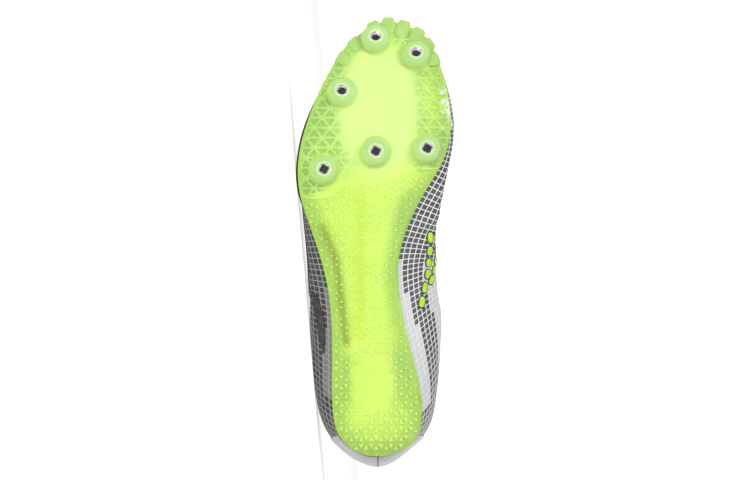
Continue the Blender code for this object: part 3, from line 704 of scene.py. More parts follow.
def limeFinish(name, roughness):
    # the lime also emits its own colour faintly: a painted glow
    finish = Finish(
        name,
        Subsurface_Weight=0.15,
        Subsurface_Radius=(0.9, 1.0, 0.3),
        Subsurface_Scale=0.004,
        Emission_Strength=limes["glow"],
    )
    vector = finish.point()
    x, y, _ = finish.parts(vector)
    side = nubs["side"] * 1000
    startX, startY = (1000 * start for start in nubs["startRow"])
    lines = latticeLines(x - startX - side / 2, y - startY, side)
    # the rubber's lattice lines are painted darker: painted shade in the grooves between the nubs, also
    # used for their bump
    shadedGrooves = finish.painted("groove") * (1 - finish.step(lines, 0.1, 0.85))
    mottled = finish.step(finish.noise(vector, 0.55), 0.3, 0.7) * 0.35 + 0.65
    frost = finish.painted("frost")
    colour = finish.blend(finish.painted("fore"), limes["middle"], limes["fore"])
    for factor, tone in (
        # yellow and olive carry painted shading of the sole's curves
        (finish.painted("yellow"), "yellow"),
        # edge darkens towards the sole's edge and carries painted shade along the drawn rim lines
        (finish.step(finish.painted("rim"), 0.0, 1.0) * 0.85, "edge"),
        (finish.painted("olive"), "olive"),
        (finish.painted("rib"), "rib"),
        # cell is partly painted shade in the recessed lattice cells
        (finish.painted("cell") * mottled, "cell"),
        (finish.painted("clear"), "clear"),
        # the groove lines take painted shade
        (shadedGrooves, "groove"),
        (frost, "frosted"),
        # tip is a painted highlight on the nub tops, and the pale cream of boss rings and lips
        (finish.painted("tip"), "tip"),
    ):
        colour = finish.blend(factor, colour, limes[tone])
    shade = finish.step(finish.noise(vector, 0.035), 0.35, 0.75) * 0.08 + 0.95
    shades = finish.node("ShaderNodeCombineColor", None, {0: shade, 1: shade, 2: shade})
    colour = finish.blend(1.0, colour, shades, "MULTIPLY")
    grain = finish.noise(vector, 1.6)
    rough = roughness + finish.step(grain, 0.3, 0.7) * 0.12 + frost * 0.12
    bump = finish.bump(grain * 0.2 - shadedGrooves, 0.0002, 0.6)
    return finish.feed(Base_Color=colour, Emission_Color=colour, Roughness=rough, Normal=bump)


plateLime = limeFinish("limePlate", 0.26)
rubberLime = limeFinish("limeRubber", 0.34)


def photoSpot(px, py):
    # own x and y of a pixel row and column on the sole
    return (
        (photo["centre"][0] - px) * photo["perPixel"] + photo["middle"][0],
        (photo["centre"][1] - py) * photo["perPixel"] + photo["middle"][1],
    )


def nearLine(points, line, width):
    # how near plan points lie to a drawn line, 1 on it and 0 far off
    flat = points.reshape(-1, 2)
    best = np.full(len(flat), 1e9)
    for start, end in zip(line[:-1], line[1:]):
        ahead = np.array(end) - start
        share = np.clip(((flat - start) @ ahead) / (ahead @ ahead), 0, 1)
        best = np.minimum(best, np.linalg.norm(flat - start - share[:, None] * ahead, axis=1))
    return np.exp(-((best / width) ** 2)).reshape(points.shape[:-1])


def soleTones(made, points):
    # where the lime turns paler, yellower, olive or darker, in the shoe's own places; the drawn rim,
    # olive and yellow lines are painted shading
    flat = points[:, :2]

    def drawn(key):
        return sum(
            nearLine(flat, [photoSpot(*spot) for spot in line], width) * strength
            for line, width, strength in paintedSoleShading[key]
        )

    reach = np.linalg.norm((flat - photoSpot(*limes["foreMiddle"])) / limes["foreReach"], axis=1)
    fore = (1 - smoothStep(reach, *limes["foreFades"])) * smoothStep(flat[:, 1], *limes["foreRows"])
    rim = limes["rimStrength"] * (1 - smoothStep(edgeDistance(flat), *limes["rimWidth"]))
    olive = drawn("olive")
    # a painted shade lies in a ring at the heel side of each boss, the side turned from the light
    for boss in bosses["places"]:
        away = flat - onSole(boss)
        reach = np.linalg.norm(away, axis=1)
        below = np.clip((away @ bossShade["way"]) / np.maximum(reach, 1e-6), 0, 1)
        ring = np.exp(-(((reach - bossShade["radius"]) / bossShade["width"]) ** 2))
        olive = np.maximum(olive, ring * below * bossShade["strength"])
    paint(made, "fore", fore)
    # the rim tone: darker towards the sole's edge, plus painted shade along the drawn rim lines
    paint(made, "rim", np.clip(rim + drawn("rim"), 0, 1))
    paint(made, "olive", olive)
    paint(made, "yellow", drawn("yellow"))


def plateJoin(points, place):
    # 0 in the middle of the join with the plate, where no step shows, and 1 elsewhere
    near = np.exp(-(((points[..., 1] - np.interp(points[..., 0], *plateEdge())) / 0.007) ** 2))
    return 1 - near * (1 - smoothStep(np.abs(place), 0.30, 0.72))


underside = {
    "crown": 0.0015,
    "groove": 0.0008,
    "groovePlace": 0.72,
    "grooveWidth": 0.14,
    "waist": (0.30, 0.42, 0.54, 0.62),
    "stepUp": 0.0006,
    "padDrop": 0.0009,
    "padFades": (0.55, 1.25),
}


def soleUnder(points, place):
    # the rubber's underside before its nubs
    y = points[..., 1]
    share = y / shoe["length"]
    waistFrom, waistTo = underside["waist"][:2], underside["waist"][2:]
    waist = smoothStep(share, *waistFrom) * (1 - smoothStep(share, *waistTo))
    crown = underside["crown"] * (1 - place**2)
    besideGroove = (np.abs(place) - underside["groovePlace"]) / underside["grooveWidth"]
    groove = underside["groove"] * np.exp(-(besideGroove**2))
    padSize = (heelPad["halfWidth"], heelPad["halfLength"])
    reach = np.linalg.norm((points - onSole(heelPad["place"])) / padSize, axis=-1)
    padDrop = underside["padDrop"] * (1 - smoothStep(reach, *underside["padFades"]))
    return (
        clearance(y)
        + standShare(share) * underside["stepUp"] * plateJoin(points, place)
        + rounded(edgeDistance(points))
        + waist * (groove - crown)
        - padDrop
    )


def nubPlaces():
    # x, y and way up of each triangle of the lattice that carries a nub
    side = nubs["side"]
    rowHeight = side * math.sqrt(3) / 2
    spots = []
    for row in range(-2, 40):
        for column in range(-12, 13):
            for up in (0, 1):
                x = (column + 0.5 * (row % 2) + 0.5 * up) * side + nubs["startRow"][0]
                y = (row + (1 + up) / 3) * rowHeight + nubs["startRow"][1]
                spots.append((x, y, up))
    spots = np.array(spots)
    plan = spots[:, :2]
    heel = np.array(nubs["smoothHeel"])
    keep = insideOutline(plan) & (edgeDistance(plan) > nubs["edgeRoom"])
    keep &= spots[:, 1] < np.interp(spots[:, 0], *plateEdge()) - nubs["radius"]
    keep &= np.linalg.norm((plan - heel[:2]) / heel[2:], axis=1) > 1
    return spots[keep]


# ribs where the rubber ends and the plate begins, on the outer and on the inner side
joinRibs = (8.90, 9.75)
# how strongly the painted shade in the rubber's lattice grooves shows, everywhere, round the heel and
# along the sides
grooveShadeShows = {"everywhere": 0.10, "heel": 0.55, "sides": 0.22}


def makeOutsole():
    outer, inner = (
        np.concatenate([[0, 0.12, 0.28, 0.5, 0.75], np.linspace(1, end, 170)]) for end in joinRibs
    )
    plan, place01 = across(outer, inner, 44)
    under = soleUnder(plan, place01)
    low = lifted(plan, under)
    high = lifted(plan, outsoleTop(plan[..., 1]))
    points = [*low.reshape(-1, 3), *high.reshape(-1, 3)]
    faces = slabFaces(*low.shape[:2])
    tipHighlight = [0.0] * len(points)
    heights = heightLookup(plan, under)
    spots = nubPlaces()
    for x, y, up in spots:
        # three-sided pyramids, low where the photo shows the rubber worn smooth
        faint = math.exp(-(((x - nubs["fadeMiddle"]) / nubs["fadeWidth"]) ** 2))
        faint *= smoothStep(y, *nubs["fadeRows"][:2]) * (1 - smoothStep(y, *nubs["fadeRows"][2:]))
        full = 1 - nubs["fade"] * faint
        waist = np.interp(y, nubs["wornRows"], (1, nubs["worn"]))
        tall = nubs["height"] * full * waist
        wide = nubs["radius"] * waist
        first = len(points)
        rings = ((wide, -nubs["sunk"]), (wide * 0.97, 0.0), (nubs["topRadius"], tall))
        for radius, lift in rings:
            for c, s in roundTurn(3, math.radians(-90 if up else 90)):
                spot = (x + c * radius, y + s * radius)
                base = heights(*spot) if lift < tall else heights(x, y)
                points.append((*spot, base - lift))
        tipHighlight += [0.0] * 6 + [full] * 3
        faces += [*ringFaces(3, 3, first), capFace(first + 6, 3)]
    points = np.array(points)
    made = makeObject("outsoleRubber", points, faces, rubberLime, ["outsole"], 30)
    soleTones(made, points)
    # the nub tops are painted paler: a painted highlight on their lit faces near the apex
    paint(made, "tip", np.array(tipHighlight) * 0.8)
    x, y = points[:, 0], points[:, 1]
    heelRim = (1 - smoothStep(y, 0.030, 0.085)) * smoothStep(np.abs(x - 0.004), 0.008, 0.018)
    heelRim = np.maximum(heelRim, 1 - smoothStep(y, 0.018, 0.036))
    middle = np.interp(y, (0, 0.1, 0.18), (0.004, 0.004, -0.004))
    sides = smoothStep(np.abs(x - middle), 0.010, 0.024)
    shows = grooveShadeShows["everywhere"] + grooveShadeShows["heel"] * heelRim
    paint(made, "groove", shows + grooveShadeShows["sides"] * sides * (1 - heelRim))
    print("outsole with", len(spots), "nubs")


def plateEdge():
    # the straight join between rubber and plate, as x and y
    ends = outline(np.array([joinRibs[0], shoe["ribCount"] - joinRibs[1]]))[0]
    ends = ends[np.argsort(ends[:, 0])]
    return ends[:, 0], ends[:, 1]


def insideOutline(points):
    edge, _ = outline(np.arange(0, shoe["ribCount"], 0.1))
    x, y = points[:, 0, None], points[:, 1, None]
    ax, ay = edge[:, 0], edge[:, 1]
    bx, by = np.roll(ax, -1), np.roll(ay, -1)
    crosses = (ay > y) != (by > y)
    at = ax + (y - ay) / np.where(by == ay, 1e-12, by - ay) * (bx - ax)
    return (crosses & (x < at)).sum(1) % 2 == 1


def heightLookup(plan, height):
    # the height of a grid of plan points near any spot
    flat, values = plan.reshape(-1, 2), height.ravel()

    def value(x, y):
        return values[((flat - (x, y)) ** 2).sum(1).argmin()]

    return value


makeOutsole()

lattice = {
    "base": 0.0100,
    "row": 0.0063,
    "ribHalf": 0.0006,
    "deep": 0.0007,
    "clear": (0.027, 0.052),
    # where a painted highlight washes out the lattice: its middle by photo column and row, and its reach
    "highlightMiddle": (436, 96),
    "highlightReach": (0.011, 0.024),
}
teeth = {
    "places": (-0.0400, -0.0270, -0.0100, 0.0, 0.0105, 0.0210, 0.0315, 0.0425),
    "stand": (0.25, 0.35, 0.9, 1.0, 1.0, 0.9, 0.6, 0.35),
    "width": 0.0086,
    "drop": 0.0008,
    "bevel": 0.78,
    "root": 0.0018,
    "sink": 0.0007,
    "sinkReach": 0.004,
    # reach in from the edge, half width, and rise of the tooth's face
    "form": (
        (-0.0086, 0.30, 0.05),
        (-0.0074, 0.62, 0.35),
        (-0.0042, 0.92, 0.85),
        (-0.0020, 1.0, 1.0),
        (0.0, 0.98, 1.0),
        (0.0016, 0.88, 0.8),
        (0.0028, 0.62, 0.45),
    ),
}
# the raised lips that end the plate at both sides of the join, by photo column and row
joinLips = (
    ((300, 195), (312, 198.5), (325, 197.5), (335, 193.5)),
    ((417, 166), (424, 169), (436.6, 168), (440.6, 166)),
)
lipForm = {"half": 0.0006, "sunk": 0.0007, "height": 0.0011, "marks": 24, "sides": 9}
# lattice cells at the inner edge painted near-white, by photo column and row
clearCells = ((442.5, 89), (445.5, 100.5), (445.5, 109), (450.5, 116))
clearRadii = (0.0021, 0.0031)


def latticeCells(points):
    # 0 on the triangular ribs, 1 in the cells between them
    x, y = points[..., 0], points[..., 1]
    slope = lattice["base"] / 2 / lattice["row"]
    nearest = np.full(x.shape, 1e9)
    for value, pitch, scale in (
        (y, lattice["row"], 1.0),
        (x - slope * y, lattice["base"], math.hypot(1, slope)),
        (x + slope * y, lattice["base"], math.hypot(1, slope)),
    ):
        away = np.abs(value - np.round(value / pitch) * pitch) / scale
        nearest = np.minimum(nearest, away)
    return smoothStep(nearest, lattice["ribHalf"] * 0.7, lattice["ribHalf"] * 1.7)


def latticeDepth(points):
    # the lattice is deep round the rim and runs out in the smooth middle
    reach = np.linalg.norm((points - photoSpot(*limes["foreMiddle"])) / lattice["clear"], axis=-1)
    shown = smoothStep(reach, 0.72, 1.12) * smoothStep(edgeDistance(points), 0.0012, 0.0028)
    for boss in bosses["places"]:
        away = np.linalg.norm(points - onSole(boss), axis=-1)
        shown = shown * smoothStep(away, bosses["baseRadius"], bosses["baseRadius"] + 0.002)
    return shown


def besideAxis(up):
    side = unit(np.cross(up, (0, 1, 0)))
    return side, np.cross(up, side)


def latheInto(points, faces, foot, up, profile, steps):
    # a profile of (radius, height below the plate) turned about a boss's axis
    side, other = besideAxis(up)
    faces += ringFaces(len(profile), steps, len(points))
    for radius, height in profile:
        points += [foot - up * height + (side * c + other * s) * radius for c, s in roundTurn(steps)]


def toothRibs():
    ribs = np.linspace(shoe["toeRib"] - 4, shoe["toeRib"] + 4, 401)
    run = runAlong(outline(ribs)[0])
    middle = np.interp(shoe["toeRib"], ribs, run)
    return zip(np.interp(middle + np.array(teeth["places"]), run, ribs), teeth["stand"])


# boss radius, height over the plate, paleness of the frosted face, and of the cream ring
bossProfile = (
    (0.0102, -0.0003, 0.35, 0),
    (0.0097, 0.0002, 0.45, 0),
    (0.0093, 0.0010, 0.55, 0),
    (0.0089, 0.0021, 0.65, 0),
    (0.0084, 0.0031, 0.8, 0),
    (0.0078, 0.0038, 1, 0),
    (0.0070, 0.0042, 1, 0),
    (0.0060, 0.0044, 1, 0),
    (0.0050, 0.0044, 1, 0),
    (0.0047, 0.0046, 1, 0.5),
    (0.0045, 0.0048, 0.3, 1),
    (0.0041, 0.0048, 0.3, 1),
    (0.0039, 0.0045, 0.3, 1),
    (0.0039, 0.0, 0.3, 1),
)


# strength of each painted tone on the plate
plateTones = {
    "cell": 0.85,
    "rib": 0.8,
    "clear": 0.9,
    "creamRing": 0.9,
    "toothFrost": 0.4,
    "toothCell": 0.3,
    "lip": 0.5,
    "highlightFade": 0.45,
}


def makePlate():
    outer, inner = (
        np.concatenate([np.linspace(end, 15, 190), [15.3, 15.55, 15.75, 15.9, 16]])[::-1]
        for end in joinRibs
    )
    plan, place01 = across(outer, inner, 150)
    y = plan[..., 1]
    joined = np.exp(-(((y - np.interp(plan[..., 0], *plateEdge())) / 0.012) ** 2))
    shown = latticeDepth(plan) * (1 - joined * (1 - smoothStep(np.abs(place01), 0.50, 0.80)))
    cells = latticeCells(plan)
    under = clearance(y) + rounded(edgeDistance(plan)) + cells * shown * lattice["deep"]
    low, high = lifted(plan, under), lifted(plan, outsoleTop(y))
    points = [*low.reshape(-1, 3), *high.reshape(-1, 3)]
    faces = slabFaces(*low.shape[:2])
    clear = np.zeros(cells.shape)
    for cell in clearCells:
        away = np.linalg.norm(plan - photoSpot(*cell), axis=-1)
        clear = np.maximum(clear, 1 - smoothStep(away, *clearRadii))
    # round a spot on the inner forefoot the lattice tones are washed out: a painted highlight
    highlightFade = (plan - photoSpot(*lattice["highlightMiddle"])) / lattice["highlightReach"]
    highlightFade = smoothStep(np.linalg.norm(highlightFade, axis=-1), 0.5, 1.2)
    highlightFade = plateTones["highlightFade"] + (1 - plateTones["highlightFade"]) * highlightFade
    tones = {key: [] for key in ("cell", "rib", "clear", "frost", "tip")}

    def tone(count, **values):
        for key, layer in tones.items():
            layer += list(values.get(key, np.zeros(count)))

    # the recessed lattice cells are painted darker, partly as painted shade in the recesses
    tone(
        cells.size,
        cell=(cells * shown * highlightFade * plateTones["cell"]).ravel(),
        rib=((1 - cells) * shown * highlightFade * plateTones["rib"]).ravel(),
        clear=(clear * cells * plateTones["clear"]).ravel(),
    )
    tone(cells.size)
    steps = bosses["turnSteps"]
    pale = np.repeat([row[2:] for row in bossProfile], steps, axis=0)
    for boss in bosses["places"]:
        latheInto(points, faces, *bossFrame(boss), [row[:2] for row in bossProfile], steps)
        tone(len(pale), frost=pale[:, 0], tip=pale[:, 1] * plateTones["creamRing"])
    for rib, stand in toothRibs():
        toothInto(points, faces, rib, stand)
        count = len(points) - len(tones["tip"])
        frost, cell = (np.full(count, plateTones[key]) for key in ("toothFrost", "toothCell"))
        tone(count, frost=frost, cell=cell)
    for lip in joinLips:
        curve = lipInto(points, faces, [photoSpot(*spot) for spot in lip])
        count = len(points) - len(tones["tip"])
        tone(count, tip=np.full(count, plateTones["lip"]))
        flapInto(points, faces, curve)
        tone(len(points) - len(tones["tip"]))
    points = np.array(points)
    made = makeObject("spikePlate", points, faces, plateLime, ["spike_plate"], 30)
    soleTones(made, points)
    for key, layer in tones.items():
        paint(made, key, layer)
    print("spike plate with", len(bosses["places"]), "bosses")


def toothInto(points, faces, rib, stand):
    # a block across the plate's edge, with a sloped outer face and bevelled sides
    edge, out = outline(rib)
    along = np.array([-out[1], out[0]])
    first = len(points)
    form = teeth["form"]
    count = 2 * len(form)
    for bevel, sunk in ((1.0, True), (1.0, False), (teeth["bevel"], False)):
        for sign in (1, -1):
            for reach, width, rise in form[::sign]:
                spot = edge + out * reach * (bevel * stand if reach > 0 else 1)
                spot = spot + along * sign * width * bevel * teeth["width"] / 2
                lift = teeth["drop"] * rise if bevel < 1 else 0.0
                sink = teeth["sink"] * max(0, 1 + reach / teeth["sinkReach"])
                if sunk:
                    sink = teeth["root"]
                points.append(np.array([*spot, float(clearance(spot[1])) + sink - lift]))
    faces += ringFaces(3, count, first)
    crown = first + 2 * count
    for k in range(len(form) - 1):
        faces.append((crown + k, crown + k + 1, crown + count - 2 - k, crown + count - 1 - k))
    faces.append(capFace(first, count)[::-1])


def drawnLine(line):
    # a smooth line through drawn points, by the way along it, and its length
    line = np.array(line, float)
    run = runAlong(line)
    curves = [risingCurve(run, line[:, i]) for i in (0, 1)]
    return lambda at: np.stack([curve(at) for curve in curves], axis=-1), run[-1]


def lipInto(points, faces, line):
    # a low round ridge along a drawn line on the plate's face
    at, length = drawnLine(line)
    curve = at(np.linspace(0, length, lipForm["marks"]))
    ahead = unit(np.gradient(curve, axis=0))
    side = np.column_stack([-ahead[:, 1], ahead[:, 0]])
    taper = np.sin(np.linspace(0.05, 0.95, len(curve)) * math.pi) ** 0.4
    first = len(points)
    ring = lipForm["sides"]
    for spot, over, size in zip(curve, side, taper):
        base = float(clearance(spot[1]) + rounded(edgeDistance(spot[None]))[0])
        for c, s in roundTurn(2 * (ring - 1))[:ring]:
            height = base + lipForm["sunk"] - s * lipForm["height"] * size
            points.append(np.array([*(spot + over * c * lipForm["half"]), height]))
    faces += ringFaces(len(curve), ring, first)
    faces += [capFace(first, ring), capFace(len(points) - ring, ring)[::-1]]
    return curve


def flapInto(points, faces, curve):
    # where a lip lies behind the join, the plate's skin runs on over the rubber to it
    join = np.column_stack([curve[:, 0], np.interp(curve[:, 0], *plateEdge())])
    if (curve[:, 1] - join[:, 1]).mean() > 0:
        return
    share = np.linspace(0, 1, 7)[None, :, None]
    plan = join[:, None] * (1 - share) + curve[:, None] * share
    height = clearance(plan[..., 1]) + rounded(edgeDistance(plan))
    faces += (np.array(slabFaces(*plan.shape[:2])) + len(points)).tolist()
    for rise in (lipForm["sunk"], 0):
        points += [*lifted(plan, height + rise).reshape(-1, 3)]


makePlate()

steel = {
    "outer": 0.0038,
    "bore": 0.0024,
    "length": 0.0054,
    "square": 3.2,
    "turned": 0.5,
    "steps": 64,
    # radius, how square, and depth under the boss's face, from the rim to the thread
    "mouth": (
        (0.0038, 0, 0.0005),
        (0.0036, 0, 0.0001),
        (0.0033, 0, 0.0001),
        (0.0030, 0.3, 0.0005),
        (0.0026, 0.8, 0.0013),
    ),
    "threadStart": 0.0015,
    "threadPitch": 0.0008,
    "threadDepth": 0.00022,
}


def steelFinish():
    finish = Finish("socketSteel", Metallic=1.0)
    wear = finish.noise(finish.point(), 1.1, 4.0)
    colour = finish.patches(wear, 0.35, 0.7, (0.70, 0.71, 0.73), (0.92, 0.93, 0.95))
    rough = finish.step(wear, 0.3, 0.8) * 0.15 + 0.10
    return finish.feed(Base_Color=colour, Roughness=rough, Normal=finish.bump(wear, 0.00003, 0.5))


def boreShadeFinish():
    # the bore's floor is painted near-black: painted shade deep in the hole, mottled at random
    finish = Finish("socketBoreShade", Roughness=0.6)
    shadeMottle = finish.noise(finish.point(), 0.9)
    return finish.feed(Base_Color=finish.blend(shadeMottle, (0.012, 0.014, 0.013), (0.05, 0.055, 0.05)))


def makeSockets():
    socketSteel, socketBoreShade = steelFinish(), boreShadeFinish()
    tall, steps = bosses["height"], steel["steps"]
    rings = [(steel["outer"], 0, tall - steel["length"])]
    rings += [(radius, squarish, tall - depth) for radius, squarish, depth in steel["mouth"]]
    depth, groove = steel["threadStart"], 0
    while depth < tall - 0.0003:
        rings.append((steel["bore"] + groove, 1, tall - depth))
        depth += steel["threadPitch"] / 2
        groove = steel["threadDepth"] - groove
    faces = [*ringFaces(len(rings), steps), capFace((len(rings) - 1) * steps, steps)]
    for number, boss in enumerate(bosses["places"], 1):
        foot, up = bossFrame(boss)
        side, other = besideAxis(up)
        points = []
        for radius, squarish, height in rings:
            power = 2 + (steel["square"] - 2) * squarish
            for (c, s), (turnedC, turnedS) in zip(roundTurn(steps), roundTurn(steps, steel["turned"])):
                reach = radius / (abs(c) ** power + abs(s) ** power) ** (1 / power)
                points.append(foot - up * height + (side * turnedC + other * turnedS) * reach)
        name, node = f"socketSteel{number}", f"socket_{number}"
        made = makeObject(name, np.array(points), faces, socketSteel, [node])
        # the bottom cap takes the painted shade
        made.data.materials.append(socketBoreShade)
        made.data.polygons[len(faces) - 1].material_index = 1
    print("six steel sockets")


makeSockets()


def foamFinish():
    finish = Finish("midsoleFoam", Roughness=0.62, Sheen_Weight=0.05)
    vector = finish.point()
    grain = finish.noise(vector, 2.2, 4.0)
    smudge = finish.step(finish.noise(vector, 0.05), 0.4, 0.8) * 0.35
    colour = finish.blend(smudge, (0.80, 0.80, 0.78), (0.60, 0.60, 0.57))
    colour = finish.blend(finish.painted("black"), colour, (0.012, 0.012, 0.013))
    return finish.feed(Base_Color=colour, Normal=finish.bump(grain, 0.00008, 0.7))


midsole = {
    "inset": 0.0015,
    "lip": 0.0027,
    "sliver": 0.0026,
    "sliverRib": 20.85,
    "sliverWidth": 0.22,
    "blackFrom": (0.135, 0.15),
    "blackTo": (0.232, 0.245),
}


def heelToToe(count):
    return np.concatenate([[0, 0.15, 0.5], np.linspace(1, 15, count), [15.5, 15.85, 16]])


def midsoleInset(rib):
    # a sliver of foam also shows on the inner side of the ball
    sliver = np.exp(-(((np.asarray(rib) - midsole["sliverRib"]) / midsole["sliverWidth"]) ** 2))
    return midsole["inset"] - midsole["lip"] * midsoleLip(rib) - midsole["sliver"] * sliver


def makeMidsole():
    ribs = heelToToe(150)
    plan, _ = across(ribs, ribs, 12, midsoleInset)
    y = plan[..., 1]
    low = lifted(plan, outsoleTop(y) + shoe["gap"])
    made = slab("midsoleFoam", low, lifted(plan, midsoleTop(y)), foamFinish(), "foam", ["midsole"])
    black = (plan[..., 0] > 0.02) * smoothStep(y, *midsole["blackFrom"])
    paint(made, "black", np.stack([black * (1 - smoothStep(y, *midsole["blackTo"]))] * 2))
    print("midsole")


makeMidsole()


insole = {"margin": 0.0016, "thick": 0.003, "cup": 0.0012, "cupEnds": 0.19}


def insoleFinish():
    finish = Finish("insoleCloth", Roughness=0.9, Sheen_Weight=0.25, Sheen_Roughness=0.5)
    vector = finish.point()
    x, y, _ = finish.parts(vector)
    first, second = (stripes(line, 0.9) * -2 + 0.9 for line in (x + y * 0.5, y - x * 0.5))
    knit = first * second
    wear = finish.step(finish.noise(vector, 0.04), 0.4, 0.75) * 0.6
    colour = finish.blend(wear, (0.055, 0.056, 0.06), (0.11, 0.11, 0.115))
    colour = finish.blend(finish.step(knit, 0.0, 0.8) * 0.4, colour, (0.16, 0.16, 0.17))
    return finish.feed(Base_Color=colour, Normal=finish.bump(knit, 0.00025, 0.8))


def makeInsole():
    ribs = heelToToe(120)
    plan, _ = across(ribs, ribs, 30, lambda rib: np.full(np.shape(rib), insole["margin"]))
    y = plan[..., 1]
    distance = edgeDistance(plan) - insole["margin"]
    cup = insole["cup"] * (1 - smoothStep(distance, 0, 0.010)) - rounded(distance, 0.0012, 0.0015)
    low = lifted(plan, insideFloor(y))
    high = lifted(plan, insideFloor(y) + insole["thick"] + cup * (y < insole["cupEnds"]))
    slab("insoleLiner", low, high, insoleFinish(), "lining", ["insole"])
    print("insole")


makeInsole()

cloth = {
    "pitch": 3.9,
    "line": 0.36,
    "lean": ((0, 40, 90, 130, 160, 200), (0.62, 0.56, 0.46, 0.28, 0.14, 0.08)),
    "outerBlend": (8.0, 12.0),
    "innerBlend": (9.5, 13.5),
    "outerMeet": 10.0,
    "innerMeet": 11.5,
    "meetLevel": 5,
    "ribSteps": 384,
    "levelSteps": 72,
}
# where bands of paler cells lie, in mm along the sole's edge and in rows up from it
cellBands = {
    "innerFrom": 44.0,
    "innerPale": (139.0, 117.0, 92.0),
    "greyTo": 137.0,
    "darkRows": 3.5,
    "outerFrom": 52.0,
    "outerPale": (121.0, 95.0),
    "farRow": 6.5,
    "farSlope": 6.0,
    "farTo": 214.0,
}
ribRun = np.linspace(0, shoe["ribCount"], 1601)
edgeRun = runAlong(outline(ribRun)[0])


def alongEdge(ribs, inner):
    # millimetres along the sole's edge from the heel, on either side
    ribs = np.asarray(ribs, float) % shoe["ribCount"]
    ahead = np.interp(ribs, ribRun, edgeRun)
    if inner:
        ahead = np.where(ribs == 0, 0, edgeRun[-1] - ahead)
    return ahead * 1000


def flatCloth(ribs, levels):
    # the cloth rolled flat round the throat's end
    _, climbs, lengths = upperPoints(ribs, levels)
    lines = ribLines(ribs)
    top, widest = lines[:, -1, :2], lines[:, lines.shape[1] // 2, :2]
    down = (lengths[:, None] - climbs)[..., None]
    return (top[:, None] + unit(widest - top)[:, None] * down) * 1000


def sideCloth(ribs, levels, inner):
    # along and up in millimetres: by the sole's edge at the sides, flat over the vamp
    climbs = upperPoints(ribs, levels)[1] * 1000
    along = alongEdge(ribs, inner)[:, None] + 0 * climbs
    sign = 1 if inner else -1
    flat = flatCloth(ribs, levels)
    # both sides' lines meet over the vamp, so the shifts are whole cells apart
    meet = shoe["ribCount"] - cloth["innerMeet"] if inner else cloth["outerMeet"]
    level = [cloth["meetLevel"]]
    meetFlat = flatCloth([meet], level)[0, 0]
    meetUp = upperPoints([meet], level)[1][0, 0] * 1000
    pitch = cloth["pitch"]
    upShift = np.round((meetUp - sign * meetFlat[0]) / pitch) * pitch
    alongShift = np.round((alongEdge([meet], inner)[0] - meetFlat[1]) / pitch) * pitch
    blend = cloth["innerBlend"] if inner else cloth["outerBlend"]
    share = smoothStep(ribDistance(ribs), *blend)[:, None]
    # the cloth's cross threads lean forward, most at the heel
    lean = np.interp(along, *cloth["lean"]) * (1 - share)
    up = climbs * (1 - share) + (sign * flat[..., 0] + upShift) * share
    ahead = along * (1 - share) + (flat[..., 1] + alongShift) * share
    return ahead - lean * climbs, up


# Creases: start and end as (along, up) in mm, or on the vamp as (x, y), half
# width in mm, and depth in mm, where minus is a trough
creases = {
    "outer": (
        ((196, 4), (222, 21), 3.2, -0.9),
        ((190, 6), (214, 26), 3.6, 0.6),
        ((205, 3), (233, 18), 3.0, 0.5),
        ((178, 8), (199, 30), 4.0, -0.6),
        ((60, 14), (104, 24), 3.6, -0.8),
        ((64, 20), (110, 32), 4.0, 0.6),
        ((58, 8), (96, 14), 3.0, 0.4),
        ((112, 20), (142, 36), 4.0, -0.5),
    ),
    "inner": (
        ((150, 6), (176, 30), 3.6, -0.7),
        ((156, 4), (186, 26), 3.4, 0.5),
        ((168, 5), (196, 24), 3.2, -0.6),
        ((120, 22), (140, 44), 4.5, -0.6),
        ((92, 30), (112, 48), 4.5, 0.5),
        ((70, 26), (88, 44), 4.0, -0.5),
    ),
    "vamp": (
        ((-26, 196), (27, 204), 3.4, -1.0),
        ((-22, 203), (24, 210), 3.6, 0.7),
        ((-24, 211), (20, 218), 3.2, -0.8),
        ((-18, 219), (16, 224), 3.6, 0.4),
    ),
}


creaseFades = {"vampRibs": (8, 9.5), "lowLevels": (0, 1.5), "highLevels": (7, 8.2), "wave": 1.6}


def creaseDepth(along, up, lines):
    depth = np.zeros(np.shape(along))
    for (ax, ay), (bx, by), width, height in lines:
        size = math.hypot(bx - ax, by - ay)
        wayX, wayY = (bx - ax) / size, (by - ay) / size
        offX, offY = along - ax, up - ay
        run = (offX * wayX + offY * wayY) / size
        side = offY * wayX - offX * wayY + creaseFades["wave"] * np.sin(run * 3.1)
        ends = smoothStep(run, -0.25, 0.2) * (1 - smoothStep(run, 0.8, 1.25))
        depth += height / 1000 * ends * np.exp(-((side / width) ** 2))
    return depth


def creasesAt(ribs, levels, points):
    # how far out the creases push the upper's face
    ribs = np.asarray(ribs, float) % shoe["ribCount"]
    climbs = upperPoints(ribs, levels)[1] * 1000
    outer, inner = (
        creaseDepth(alongEdge(ribs, side == "inner")[:, None] + 0 * climbs, climbs, creases[side])
        for side in ("outer", "inner")
    )
    depth = np.where((ribs <= shoe["toeRib"])[:, None], outer, inner)
    onTop = smoothStep(ribDistance(ribs), *creaseFades["vampRibs"])[:, None]
    vamp = creaseDepth(points[..., 0] * 1000, points[..., 1] * 1000, creases["vamp"])
    low, high = creaseFades["lowLevels"], creaseFades["highLevels"]
    calm = smoothStep(levels, *low) * (1 - smoothStep(levels, *high))
    return (depth * (1 - onTop) + vamp * onTop) * calm[None]


def upperFace(ribs, levels, lift=0.0):
    # the creased outer face, raised by lift
    levels = np.asarray(levels, float)
    points, out = upperSurface(ribs, levels)
    push = creasesAt(ribs, levels, points) + lift
    return points + out * push[..., None], out


